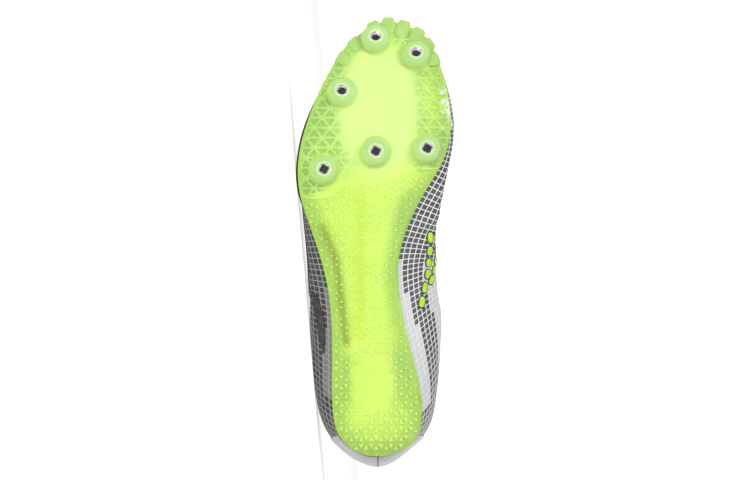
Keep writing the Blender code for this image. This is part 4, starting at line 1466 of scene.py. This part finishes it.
def ripstopFinish():
    finish = Finish("ripstopCloth", Sheen_Weight=0.08, Sheen_Roughness=0.4)
    vector = finish.point("weave")
    along, up, inner = finish.parts(vector)
    pitch, half, bands = cloth["pitch"], cloth["line"], cellBands
    away = stripes(along, pitch).math("MINIMUM", stripes(up, pitch))
    line = 1 - finish.step(away, half * 0.7, half * 1.25)
    cellAlong = (along / pitch).math("FLOOR")
    cellUp = (up / pitch).math("FLOOR")
    key = finish.node("ShaderNodeCombineXYZ", None, {0: cellAlong, 1: cellUp, 2: inner})
    odd = finish.node("ShaderNodeTexWhiteNoise", {"noise_dimensions": "3D"}, {"Vector": key})
    lit = finish.painted("lit")
    # a paler backing shows through a widening band of cells next to the sole, then four dark
    # rows, then grey ones; the bands run further forward on the inner side
    middle = (cellAlong + 0.5) * pitch
    paleCount = sum(middle < edge for edge in bands["innerPale"])
    outerCount = sum(middle < edge for edge in bands["outerPale"])
    paleRows = inner * (middle > bands["innerFrom"]) * (cellUp + 0.5 < paleCount)
    greyRows = inner * (middle < bands["greyTo"]) * (cellUp > paleCount + bands["darkRows"])
    outerPale = (1 - inner) * (middle > bands["outerFrom"]) * (cellUp + 0.5 < outerCount)
    farEnd = middle + cellUp * bands["farSlope"] < bands["farTo"]
    farGrey = inner * (middle > bands["greyTo"]) * farEnd * (cellUp > bands["farRow"])
    thread = finish.noise(vector, 5.0)
    # cells and threads come as lit and shaded copies: painted light on the inner side, painted shade on
    # the outer
    dark = finish.blend(lit, (0.022, 0.022, 0.023), (0.052, 0.052, 0.058))
    other = finish.blend(lit, (0.042, 0.042, 0.044), (0.088, 0.088, 0.096))
    cell = finish.patches(odd, 0.0, 1.0, dark, other)
    for factor, tone in (
        (greyRows * 0.85, (0.74, 0.74, 0.78)),
        (farGrey * 0.8, (0.50, 0.50, 0.53)),
        (outerPale * 0.8, (0.24, 0.24, 0.235)),
        (paleRows * 0.9, (0.80, 0.80, 0.83)),
        (finish.step(thread, 0.4, 0.8) * 0.18, (0.30, 0.30, 0.32)),
    ):
        cell = finish.blend(factor, cell, tone)
    threads = finish.blend(lit, (0.36, 0.36, 0.36), (0.90, 0.90, 0.92))
    colour = finish.blend(line, cell, threads)
    fine = (stripes(along, 0.6) + stripes(up, 0.6)) * 0.25
    bump = finish.bump(line * 0.6 + fine, 0.00022, 0.8)
    return finish.feed(Base_Color=colour, Roughness=line * 0.15 + 0.45, Normal=bump)


def liningFinish():
    finish = Finish("liningCloth", Roughness=0.92, Sheen_Weight=0.3, Sheen_Roughness=0.5)
    vector = finish.point()
    knit = finish.node("ShaderNodeTexVoronoi", {"feature": "F1"}, {"Vector": vector, "Scale": 1.1})
    wear = finish.noise(vector, 0.06)
    colour = finish.patches(wear, 0.35, 0.75, (0.10, 0.10, 0.105), (0.20, 0.20, 0.21))
    colour = finish.blend(finish.step(knit, 0.25, 0.6) * 0.5, colour, (0.03, 0.03, 0.032))
    return finish.feed(Base_Color=colour, Normal=finish.bump(knit, 0.0003, 0.7))


ripstop = ripstopFinish()
lining = liningFinish()


def rimRoll(outer, inner):
    # rows of points over the rounded rim, from the outer face to the lining
    centre = (outer[:, -1] + inner[:, -1]) / 2
    side = (outer[:, -1] - inner[:, -1]) / 2
    up = unit(np.cross(side, np.gradient(outer[:, -1], axis=0)))
    up *= np.linalg.norm(side, axis=1, keepdims=True) * 0.8
    up *= np.sign((up * (outer[:, -1] - outer[:, -2])).sum(1, keepdims=True))
    return [centre + side * c + up * s for c, s in roundTurn(12)[1:6]]


def makeUpper():
    ribs = np.linspace(0, shoe["ribCount"], cloth["ribSteps"], endpoint=False)
    levels = np.linspace(0, topLevel, cloth["levelSteps"])
    outer, out = upperFace(ribs, levels)
    # the rim is rounded over, and the lining bows in where the collar is padded
    inner = outer - out * wallAt(ribs, levels)[..., None]
    rows, columns = outer.shape[:2]
    rings = [*outer.transpose(1, 0, 2), *rimRoll(outer, inner), *inner.transpose(1, 0, 2)[::-1]]
    sheet = np.stack(rings, axis=1)
    total = sheet.shape[1]
    faces = ringFaces(rows, total, closed=True)
    made = makeObject("upperShell", sheet.reshape(-1, 3), faces, ripstop, ["upper"], 50)
    made.data.materials.append(lining)

    def padded(values):
        # the top row again, over the rim and down the lining
        return np.concatenate([values, np.repeat(values[:, -1:], total - columns, axis=1)], axis=1)

    sides = [[padded(part) for part in sideCloth(ribs, levels, side)] for side in (False, True)]
    corners = np.zeros((len(made.data.loops), 3), np.float32)
    half, liningFrom = rows // 2, columns + 3
    for polygon in made.data.polygons:
        spots = [divmod(v, total) for v in polygon.vertices]
        lowRow = min(i for i, j in spots)
        wraps = max(i for i, j in spots) - lowRow > half
        innerSide = wraps or lowRow >= half
        along, up = sides[innerSide]
        if min(j for i, j in spots) >= liningFrom:
            polygon.material_index = 1
        for loop, (i, j) in zip(polygon.loop_indices, spots):
            corners[loop] = (along[i, j], up[i, j], innerSide)
    storeVectors(made.data, "weave", corners, "CORNER")
    # painted light and shade: the cloth is painted lit on the inner side and shaded on the outer side,
    # half way where the sides meet on top
    onInner = (ribs > shoe["toeRib"]).astype(float)[:, None]
    middle = np.outer(smoothStep(ribDistance(ribs), 6, 9), smoothStep(levels, 3, topLevel)) * 0.5
    paint(made, "lit", padded(onInner * (1 - middle) + (1 - onInner) * middle))
    print("upper")


makeUpper()


def filmFinish(name, pale, dark, roughness):
    finish = Finish(name, Coat_Roughness=0.2)
    vector = finish.point()
    scuff = finish.noise(vector, 0.35, 5.0, 0.7)
    colour = finish.patches(finish.noise(vector, 0.05), 0.35, 0.7, pale, dark)
    colour = finish.blend(finish.step(scuff, 0.62, 0.8) * 0.3, colour, tuple(c * 0.5 for c in dark))
    rough = finish.step(scuff, 0.4, 0.8) * 0.2 + roughness
    bump = finish.bump(finish.noise(vector, 2.6), 0.00003, 0.6)
    return finish.feed(Base_Color=colour, Roughness=rough, Normal=bump)


heelFilm = filmFinish("heelFilm", (0.50, 0.50, 0.53), (0.40, 0.40, 0.43), 0.30)
stayFilm = filmFinish("stayFilm", (0.60, 0.60, 0.62), (0.50, 0.50, 0.52), 0.34)


def fromBorder(rows, columns):
    # how many steps each point of a grid lies from its nearest side
    down, over = np.arange(rows), np.arange(columns)
    return np.minimum(np.minimum(down, down[::-1])[:, None], np.minimum(over, over[::-1])[None])


def pressed(edge, thick, first, second):
    # thickness of a sheet whose outermost and second rows are pressed down
    return thick * np.where(edge == 0, first, np.where(edge == 1, second, 1.0))


def overlaySheet(name, ribs, levels, thick, material, slot, nodes=()):
    # a thin layer on the upper
    low, out = upperFace(ribs, levels, shoe["gap"])
    rise = pressed(fromBorder(*low.shape[:2]), thick, 0.45, 0.9)
    slab(name, low, low + out * rise[..., None], material, slot, nodes)


faceRibs = np.linspace(0, shoe["ribCount"], 641)
faceLevels = np.linspace(0, topLevel, 111)
facePoints, faceOut = upperFace(faceRibs, faceLevels)
faceClimbs = upperPoints(faceRibs, faceLevels)[1] * 1000


def onUpper(along, up, inner, lift=0.0):
    # points of the upper's face, given in mm along the sole's edge and up the side
    along, up = np.broadcast_arrays(np.asarray(along, float), np.asarray(up, float))
    run = edgeRun[-1] * 1000 - along if inner else along % (edgeRun[-1] * 1000)
    rib = np.interp(run.ravel(), edgeRun * 1000, ribRun) * 20
    low = np.clip(rib.astype(int), 0, len(faceRibs) - 2)
    share = (rib - low)[:, None]
    climbs = faceClimbs[low] * (1 - share) + faceClimbs[low + 1] * share
    level = np.array([np.interp(u, row, np.arange(len(row))) for u, row in zip(up.ravel(), climbs)])
    under = np.clip(level.astype(int), 0, len(faceLevels) - 2)
    rise = (level - under)[:, None]

    def at(grid):
        near = grid[low, under] * (1 - rise) + grid[low, under + 1] * rise
        far = grid[low + 1, under] * (1 - rise) + grid[low + 1, under + 1] * rise
        return near * (1 - share) + far * share

    spots = at(facePoints) + at(faceOut) * (np.ravel(lift)[:, None] if np.ndim(lift) else lift)
    return spots.reshape(*along.shape, 3)


def upperPatch(name, along, up, thick, material, relief=0.0):
    # a thin closed piece on the upper's outer side over a grid of places
    edge = fromBorder(*along.shape)
    lift = 0.00005 + pressed(edge, thick, 0.4, 0.9) + np.where(edge > 1, relief, 0)
    low = onUpper(along, up, False, -0.0004)
    slab(name, low, onUpper(along, up, False, lift), material, "film")


def between(lowLine, highLine, rows, columns):
    # a grid of (along, up) between two drawn lines
    low, high = (
        at(np.linspace(0, length, rows))[:, None]
        for at, length in (drawnLine(lowLine), drawnLine(highLine))
    )
    share = np.linspace(0, 1, columns)[None, :, None]
    grid = low * (1 - share) + high * share
    return grid[..., 0], grid[..., 1]


heelCounter = {"ribs": (-2.5, 2.5), "levels": (1, 6), "thick": 0.0006}
eyestay = {"thick": 0.0009}


def makeHeelCounter():
    ribs, levels = np.linspace(*heelCounter["ribs"], 90), np.linspace(*heelCounter["levels"], 50)
    name, thick = "heelCounterFilm", heelCounter["thick"]
    overlaySheet(name, ribs, levels, thick, heelFilm, "film", ["heel_counter"])
    print("heel counter")


def makeEyestay():
    ribs = np.linspace(shoe["throatRib"], shoe["ribCount"] - shoe["throatRib"], 260)
    levels = np.linspace(eyestayLevel, topLevel, 14)
    overlaySheet("eyestayBand", ribs, levels, eyestay["thick"], stayFilm, "eyestay_film", ["eyestay"])
    print("eyestay")


makeHeelCounter()
makeEyestay()

# Thin trim on the sides, in mm along the sole's edge and up from it
trims = {
    "rand": {
        "low": ((238, 0.4), (216, 0.8), (201, 1.9), (180, 7), (164, 10.6), (140, 14.4), (124, 18)),
        "high": ((238, 3), (216, 6.0), (201, 9), (180, 15), (164, 20), (140, 23), (124, 21)),
        "thick": 0.0004,
    },
    "wrinkled": {
        "low": ((128, 27), (121, 14.5), (116, 9.5), (106, 7), (99, 6), (91, 6), (80, 6.6)),
        "high": ((128, 29), (124, 24), (118, 17.5), (110, 14.5), (100, 12), (90, 10.8), (80, 7.2)),
        "thick": 0.0005,
        "wrinkle": 0.0006,
    },
    "dashes": {
        "rows": (
            (6, ((166, 17.4), (153, 22), (134, 23.8), (120, 20.4), (107, 14.6))),
            (4, ((158, 29), (147, 31), (132, 30), (122, 26))),
        ),
        "half": (3.7, 2.2),
        "outline": 0.8,
    },
    "heelSeam": {"half": 0.45, "reach": (1.6, 42), "thick": 0.0012},
}


def trimFinish(name, colour, other, roughness, coat=0.0):
    finish = Finish(name, Coat_Roughness=0.15)
    vector = finish.point()
    cloud = finish.noise(vector, 0.3, 4.0)
    tone = finish.patches(cloud, 0.35, 0.7, colour, other)
    rough = finish.step(cloud, 0.4, 0.8) * 0.15 + roughness
    shine = finish.step(cloud, 0.2, 0.9) * 0.2 + coat
    bump = finish.bump(finish.noise(vector, 3.0), 0.00004, 0.7)
    return finish.feed(Base_Color=tone, Roughness=rough, Coat_Weight=shine, Normal=bump)


blackFilm = trimFinish("blackFilm", (0.012, 0.012, 0.013), (0.024, 0.024, 0.026), 0.34)
glossFilm = trimFinish("glossFilm", (0.010, 0.010, 0.011), (0.03, 0.03, 0.032), 0.20, 0.5)
limeInk = trimFinish("limeInk", (0.56, 0.93, 0.05), (0.48, 0.85, 0.05), 0.36)
seamThread = trimFinish("seamThread", (0.46, 0.46, 0.47), (0.30, 0.30, 0.31), 0.7)
rimPlastic = trimFinish("rimPlastic", (0.05, 0.05, 0.055), (0.09, 0.09, 0.095), 0.4)
# near-black for the eyelet discs: painted shade where the holes are
eyeletShade = trimFinish("eyeletShade", (0.008, 0.008, 0.009), (0.016, 0.016, 0.017), 0.7)


def makeRand():
    rand = trims["rand"]
    along, up = between(rand["low"], rand["high"], 150, 18)
    upperPatch("outerRand", along, up, rand["thick"], blackFilm)


def makeWrinkledPatch():
    # glossy film drawn into small folds that run down the patch
    patch = trims["wrinkled"]
    along, up = between(patch["low"], patch["high"], 120, 44)
    fold = np.sin(along * 0.9 + 1.4 * np.sin(up * 0.35)) * np.sin(up * 0.62 + along * 0.21 + 0.8)
    fine = np.sin(along * 2.3 - up * 1.1 + 1.9 * np.sin(up * 0.5 + along * 0.3))
    relief = patch["wrinkle"] * (fold * 0.65 + fine * 0.35)
    upperPatch("outerWrinkledFilm", along, up, patch["thick"], glossFilm, relief)


def makeShapes(name, shapes, thick, material):
    # flat shapes pressed on the inner side, each an outline of (along, up) in mm
    points, faces = [], []
    for shape in shapes:
        middle = shape.mean(axis=0)
        count, first = len(shape), len(points)
        for scale, lift in ((1.0, -0.0003), (1.0, thick * 0.5), (0.90, thick), (0.45, thick)):
            ring = middle + (shape - middle) * scale
            points += [*onUpper(ring[:, 0], ring[:, 1], True, lift)]
        last = first + 3 * count
        faces += [*ringFaces(4, count, first), capFace(first, count)[::-1]]
        faces += [(last + k, last + (k + 1) % count, len(points)) for k in range(count)]
        points.append(onUpper(middle[:1], middle[1:], True, thick)[0])
    makeObject(name, np.array(points), faces, material, (), 50)


def swell(value, power):
    # a sine or cosine bent towards a rounded rectangle
    return math.copysign(abs(value) ** power, value)


def dashOutline(centre, ahead, half, grow=0.0):
    side = np.array([-ahead[1], ahead[0]])
    ring = []
    for c, s in roundTurn(28):
        along, over = swell(c, 0.7) * (half[0] + grow), swell(s, 0.8) * (half[1] + grow)
        ring.append(centre + ahead * along + side * over)
    return np.array(ring)


def makeSideDashes():
    # two rows of plain rounded dashes with a dark edge, on the inner side
    dashes = trims["dashes"]
    lime, dark = [], []
    for count, line in dashes["rows"]:
        at, length = drawnLine(line)
        for mark in length * (np.arange(count) + 0.5) / count:
            ahead = unit(at(mark + 1) - at(mark - 1))
            lime.append(dashOutline(at(mark), ahead, dashes["half"]))
            dark.append(dashOutline(at(mark), ahead, dashes["half"], dashes["outline"]))
    makeShapes("sideDashEdges", dark, 0.0003, blackFilm)
    makeShapes("sideDashes", lime, 0.0006, limeInk)


def makeHeelSeam():
    seam = trims["heelSeam"]
    over = np.linspace(-seam["half"], seam["half"], 7)
    along, up = np.meshgrid(over, np.linspace(*seam["reach"], 70), indexing="ij")
    upperPatch("heelSeam", along, up, seam["thick"], blackFilm)


makeRand()
makeWrinkledPatch()
makeSideDashes()
makeHeelSeam()
print("side trim")

binding = {"ribs": 6.95, "outerDrop": 1.3, "innerDrop": 2.2, "sink": 0.0002, "thick": 0.0005}


def bindingFinish():
    finish = Finish("bindingKnit", Roughness=0.85, Sheen_Weight=0.25, Sheen_Roughness=0.4)
    vector = finish.point("tape")
    along, over, _ = finish.parts(vector)
    relief = stripes(along, 0.8) * 1.6 + stripes(over, 1.1) * 0.5
    wear = finish.step(finish.noise(vector, 0.05), 0.4, 0.8) * 0.3
    colour = finish.patches(relief, 0.1, 0.7, (0.030, 0.030, 0.033), (0.085, 0.085, 0.09))
    colour = finish.blend(wear, colour, (0.12, 0.12, 0.125))
    return finish.feed(Base_Color=colour, Normal=finish.bump(relief, 0.0003, 0.8))


def makeBinding():
    # a knitted tape folded over the collar's rim
    ribs = np.linspace(-binding["ribs"], binding["ribs"], 300)
    outer, _ = upperFace(ribs, np.linspace(topLevel - binding["outerDrop"], topLevel, 8))
    levels = np.linspace(topLevel, topLevel - binding["innerDrop"], 10)
    inside, out = upperFace(ribs, levels)
    lined = inside - out * wallAt(ribs, levels)[..., None]
    rim = rimRoll(outer, lined[:, ::-1])
    path = np.stack([*outer.transpose(1, 0, 2), *rim, *lined.transpose(1, 0, 2)], axis=1)
    along = np.gradient(path, axis=0)
    over = np.gradient(path, axis=1)
    raised = unit(np.cross(along, over))
    raised *= np.sign((raised[:, 0] * (path[:, 0] - lined[:, 0])).sum(1).mean())
    rise = pressed(fromBorder(*path.shape[:2]), binding["thick"], 0.3, 0.85)
    low, high = path - raised * binding["sink"], path + raised * rise[..., None]
    made = slab("collarBinding", low, high, bindingFinish(), "lining")
    run = np.cumsum(np.linalg.norm(along, axis=2), axis=0) * 1000
    width = np.cumsum(np.linalg.norm(over, axis=2), axis=1) * 1000
    storeVectors(made.data, "tape", [np.stack([run, width, 0 * run], axis=-1)] * 2)
    print("collar binding")


makeBinding()

stitch = {
    "long": 0.0022,
    "gap": 0.0014,
    "radius": 0.00028,
    "sides": 6,
    # share of the length, and thickness there
    "form": ((0, 0.25), (0.18, 0.9), (0.5, 1.15), (0.82, 0.9), (1, 0.25)),
    "collarRibs": 6.7,
    "fromEnd": 0.15,
    "fromEdge": 0.35,
    "underBinding": 0.25,
}


def stitchRow(points, faces, curve, out):
    # small rounded stitches along a curve of points
    run = runAlong(curve)
    sides, rings = stitch["sides"], len(stitch["form"])

    def at(mark, values):
        return np.array([np.interp(mark, run, values[:, i]) for i in range(3)])

    start = stitch["gap"]
    while start + stitch["long"] < run[-1]:
        first = len(points)
        for share, size in stitch["form"]:
            mark = start + stitch["long"] * share
            spot, up = at(mark, curve), unit(at(mark, out))
            side = unit(np.cross(at(mark + 1e-4, curve) - spot, up))
            wide = stitch["radius"] * size
            points += [spot + (side * c + up * s) * wide for c, s in roundTurn(sides)]
        faces += [*ringFaces(rings, sides, first), capFace(first, sides)]
        faces.append(capFace(len(points) - sides, sides)[::-1])
        start += stitch["long"] + stitch["gap"]


def makeStitches():
    # two rows on the eyestay and one below the collar's binding
    points, faces = [], []
    first = shoe["throatRib"] + stitch["fromEnd"]
    stay = np.linspace(first, shoe["ribCount"] - first, 500)
    collar = np.linspace(-stitch["collarRibs"], stitch["collarRibs"], 500)
    stayLift = shoe["gap"] + eyestay["thick"]
    for ribs, level, lift in (
        (stay, eyestayLevel + stitch["fromEdge"], stayLift),
        (stay, topLevel - stitch["fromEdge"], stayLift),
        (collar, topLevel - binding["outerDrop"] - stitch["underBinding"], 0.0),
    ):
        curve, out = upperFace(ribs, [level], lift)
        stitchRow(points, faces, curve[:, 0] + out[:, 0] * 0.0001, out[:, 0])
    makeObject("seamStitches", np.array(points), faces, seamThread, (), 60)
    print("stitches")


makeStitches()


def bridge(outerLine, innerLine, count):
    # points over the open throat, from one edge to the other
    span = np.linalg.norm(innerLine[-1] - outerLine[-1])
    leave = unit(outerLine[-1] - outerLine[-2]) * span
    meet = unit(innerLine[-2] - innerLine[-1]) * span
    share = np.linspace(0, 1, count + 2)[1:-1, None]
    return hermite(outerLine[-1], leave, innerLine[-1], meet, share)


def throatRow(rib, levels, offset, count):
    # a line across the throat, over the upper's face or under its wall
    sides = []
    for side in (rib, shoe["ribCount"] - rib):
        points, out = upperSurface(side, levels)
        depth = wallAt([side], levels)[0, :, None] if offset < 0 else 0
        sides.append(points[0] + out[0] * (offset - depth))
    return np.concatenate([sides[0], bridge(*sides, count), sides[1][::-1]])


tongue = {
    "thick": 0.0025,
    "tail": 0.028,
    # share of the tail, and width there, from its free end
    "tailRows": (
        (1.0, 0.36),
        (0.97, 0.44),
        (0.88, 0.50),
        (0.75, 0.545),
        (0.6, 0.57),
        (0.45, 0.58),
        (0.3, 0.58),
        (0.15, 0.60),
    ),
    "tailWay": (0, -0.45, 0.89),
    "bound": 2,
}


def tongueFinish():
    finish = Finish("tongueMesh", Roughness=0.85, Sheen_Weight=0.2, Sheen_Roughness=0.5)
    inputs = {"Vector": finish.point(), "Scale": 0.62, "Randomness": 0.12}
    hole = finish.node("ShaderNodeTexVoronoi", {"feature": "F1"}, inputs)
    bound = finish.painted("bound")
    solid = finish.step(hole, 0.30, 0.45)
    colour = finish.blend((1 - solid) * (1 - bound), (0.30, 0.30, 0.32), (0.05, 0.05, 0.055))
    colour = finish.blend(bound, colour, (0.60, 0.92, 0.10))
    return finish.feed(Base_Color=colour, Normal=finish.bump(solid * (1 - bound), 0.0004, 0.8))


def makeTongue():
    levels = np.linspace(eyestayLevel, topLevel, 10)
    ribs = np.linspace(shoe["throatRib"], shoe["toeRib"], 60)
    sheets = []
    for offset in (-shoe["gap"] - tongue["thick"], -shoe["gap"]):
        rows = [throatRow(rib, levels, offset, 21) for rib in ribs]
        first = rows[0]
        middle = first[len(first) // 2]
        reach = np.array(tongue["tailWay"]) * tongue["tail"]
        tail = [middle + (first - middle) * width + reach * share for share, width in tongue["tailRows"]]
        sheets.append(np.array(tail + rows))
    made = slab("tongueMesh", *sheets, tongueFinish(), "tongue_cloth", ["tongue"])
    rows, columns = sheets[0].shape[:2]
    fromEnd = np.arange(rows)[:, None]
    fromSide = np.minimum(np.arange(columns), np.arange(columns)[::-1])[None]
    onTail = (fromSide < tongue["bound"]) & (fromEnd < len(tongue["tailRows"]))
    paint(made, "bound", np.stack([(fromEnd < tongue["bound"]) | onTail] * 2))
    print("tongue")


makeTongue()

lace = {
    "bars": (0.423, 0.463, 0.504, 0.544, 0.580, 0.615),
    "width": 0.0065,
    "thick": 0.0012,
    "eyeLevel": 9.5,
    "sides": 20,
    "dip": 0.0024,
    "pinch": 0.30,
}


def laceFinish():
    finish = Finish("laceWeave", Roughness=0.8, Sheen_Weight=0.25, Sheen_Roughness=0.4)
    vector = finish.point("tape")
    along, side, _ = finish.parts(vector)
    herring = stripes(along + side.math("ABSOLUTE") * 1.2, 0.9)
    relief = herring * 1.4 + stripes(side, 0.55)
    tint = finish.step(finish.noise(vector, 0.9), 0.4, 0.8) * 0.25
    colour = finish.patches(relief, 0.1, 0.6, (0.30, 0.52, 0.03), (0.60, 0.90, 0.12))
    colour = finish.blend(tint, colour, (0.74, 0.98, 0.22))
    return finish.feed(Base_Color=colour, Normal=finish.bump(relief, 0.0003, 0.9))


laceCloth = laceFinish()


def ribAt(y):
    ribs = np.linspace(shoe["throatRib"], shoe["toeRib"] - 2, 200)
    return float(np.interp(y, topY(ribs), ribs))


def makeLace(number, y):
    # a flat bar over the throat, pinched and dipping into the eyelets
    rib = ribAt(y)
    levels = np.linspace(lace["eyeLevel"], topLevel, 8)
    lift = 3 * shoe["gap"] + eyestay["thick"]
    low, before, after = (throatRow(rib + step, levels, lift, 17) for step in (0, -0.1, 0.1))
    ahead = unit(np.gradient(low, axis=0))
    side = after - before
    side = unit(side - ahead * (side * ahead).sum(axis=1, keepdims=True))
    out = np.cross(side, ahead)
    count, sides = len(low), lace["sides"]
    out *= np.sign(out[count // 2, 2])
    dip = smoothStep(np.abs(np.linspace(-1, 1, count)), 0.80, 1.0)[:, None]
    middle = low + out * (lace["thick"] / 2 - dip * lace["dip"])
    section = [(swell(c, 0.5), swell(s, 0.8)) for c, s in roundTurn(sides)]
    wide = side * lace["width"] / 2 * (1 - lace["pinch"] * dip)
    points = np.stack([middle + wide * a + out * b * lace["thick"] / 2 for a, b in section], axis=1)
    faces = [*ringFaces(count, sides), capFace(0, sides), capFace((count - 1) * sides, sides)]
    name, node = f"laceBar{number}", f"lace_{number}"
    made = makeObject(name, points.reshape(-1, 3), faces, laceCloth, [node], 60)
    run = runAlong(low) * 1000 + number * 7
    tape = [(along, a * lace["width"] * 500, b) for along in run for a, b in section]
    storeVectors(made.data, "tape", tape)


for number, y in enumerate(lace["bars"], 1):
    makeLace(number, y)
print("laces")

eyelet = {
    "half": (0.0030, 0.0016),
    "tube": 0.00045,
    "level": 9.7,
    "turn": 40,
    "round": 10,
    # the painted-shade disc's face and back, over the eyestay
    "hole": (0.0001, -0.0004),
}


def makeEyelets():
    # an oval rim at each lace end, with a near-black disc in it as painted shade for the hole
    rims, rimFaces, holes, holeFaces = [], [], [], []
    turn, around, level = eyelet["turn"], eyelet["round"], [eyelet["level"]]
    halfLong, halfShort = eyelet["half"]
    for rib in (side for y in lace["bars"] for side in (ribAt(y), shoe["ribCount"] - ribAt(y))):
        spot, out = (part[0, 0] for part in upperSurface(rib, level))
        ahead = upperPoints(rib + 0.1, level)[0][0, 0] - spot
        ahead = unit(ahead - out * (ahead @ out))
        side = np.cross(out, ahead)
        centre = spot + out * (shoe["gap"] + eyestay["thick"])
        rimFaces += ringFaces(turn, around, len(rims), True)
        first = len(holes)
        holeFaces += [*ringFaces(2, turn, first), capFace(first, turn), capFace(first + turn, turn)]
        for c, s in roundTurn(turn):
            base = centre + ahead * c * halfLong + side * s * halfShort
            away = unit(ahead * c / halfLong + side * s / halfShort)
            rims += [base + (away * c + out * s) * eyelet["tube"] for c, s in roundTurn(around)]
            holes.append(base)
        holes += [base + out * eyelet["hole"][1] for base in holes[first:]]
        holes[first : first + turn] = [b + out * eyelet["hole"][0] for b in holes[first : first + turn]]
    makeObject("eyeletRims", np.array(rims), rimFaces, rimPlastic, (), 60)
    makeObject("eyeletHoles", np.array(holes), holeFaces, eyeletShade)
    print("eyelets")


makeEyelets()

studio = {
    "floorInside": 0.4,
    "floorRadius": 2.8,
    "overlap": 0.1,
    "wallRadius": 4.0,
    "wallHeight": 5.0,
    "floorGlow": 0.50,
    "wallGlow": 1.15,
    "worldLight": 0.30,
    # place, size and power
    "keyLamp": ((-0.9, -1.0, 1.9), 0.5, 22),
    "fillLamp": ((0.3, -1.9, 0.5), 1.2, 6),
}


def stageFinish(name, glow):
    finish = Finish(name, Roughness=0.8, Emission_Strength=glow)
    cloud = finish.noise(finish.node("ShaderNodeTexCoord", output="Object"), 1.5, 2.0)
    white = finish.blend(cloud, (0.90, 0.90, 0.90), (0.93, 0.93, 0.93))
    return finish.feed(Base_Color=white, Emission_Color=white)


def makeRound(name, profile, material, cap):
    # a stage piece turned about the upright through the shoe, the same from all sides
    steps = 96
    points = [(radius * c, radius * s, height) for radius, height in profile for c, s in roundTurn(steps)]
    faces = [face[::-1] for face in ringFaces(len(profile), steps)]
    if cap:
        faces.append(capFace(0, steps))
    mesh = bpy.data.meshes.new(name)
    mesh.from_pydata(points, [], faces)
    mesh.shade_smooth()
    mesh.materials.append(material)
    made = bpy.data.objects.new(name, mesh)
    bpy.context.scene.collection.objects.link(made)
    return made


def makeStage():
    floorRadius = studio["floorRadius"]
    corner = studio["wallRadius"] - floorRadius
    floor = [(radius, 0) for radius in (studio["floorInside"], 1, floorRadius)]
    makeRound("studioFloor", floor, stageFinish("paleFloor", studio["floorGlow"]), True)
    angles = [math.radians(90 * k / 12) for k in range(13)]
    start = floorRadius - studio["overlap"]
    profile = [(start + corner * math.sin(a), corner * (1 - math.cos(a))) for a in angles]
    profile.append((start + corner, studio["wallHeight"]))
    wallSheet = makeRound("studioWall", profile, stageFinish("paleWall", studio["wallGlow"]), False)
    wallSheet.visible_diffuse = False
    wallSheet.visible_shadow = False


def makeLamp(name, at, size, power, aimAt=(0, 0, 0.05)):
    lamp = bpy.data.lights.new(name, "AREA")
    lamp.shape = "DISK"
    lamp.size = size
    lamp.energy = power
    made = bpy.data.objects.new(name, lamp)
    bpy.context.scene.collection.objects.link(made)
    made.location = at
    made.rotation_euler = (Vector(aimAt) - Vector(at)).to_track_quat("-Z", "Y").to_euler()


def makeLight():
    world = bpy.data.worlds.new("studioWorld")
    bpy.context.scene.world = world
    world.use_nodes = True
    back = world.node_tree.nodes["Background"]
    back.inputs["Color"].default_value = (1, 1, 1, 1)
    back.inputs["Strength"].default_value = studio["worldLight"]
    for name in ("keyLamp", "fillLamp"):
        makeLamp(name, *studio[name])
    view = bpy.context.scene.view_settings
    view.view_transform = "Standard"
    view.look = "None"


makeStage()
makeLight()
print("stage and light")
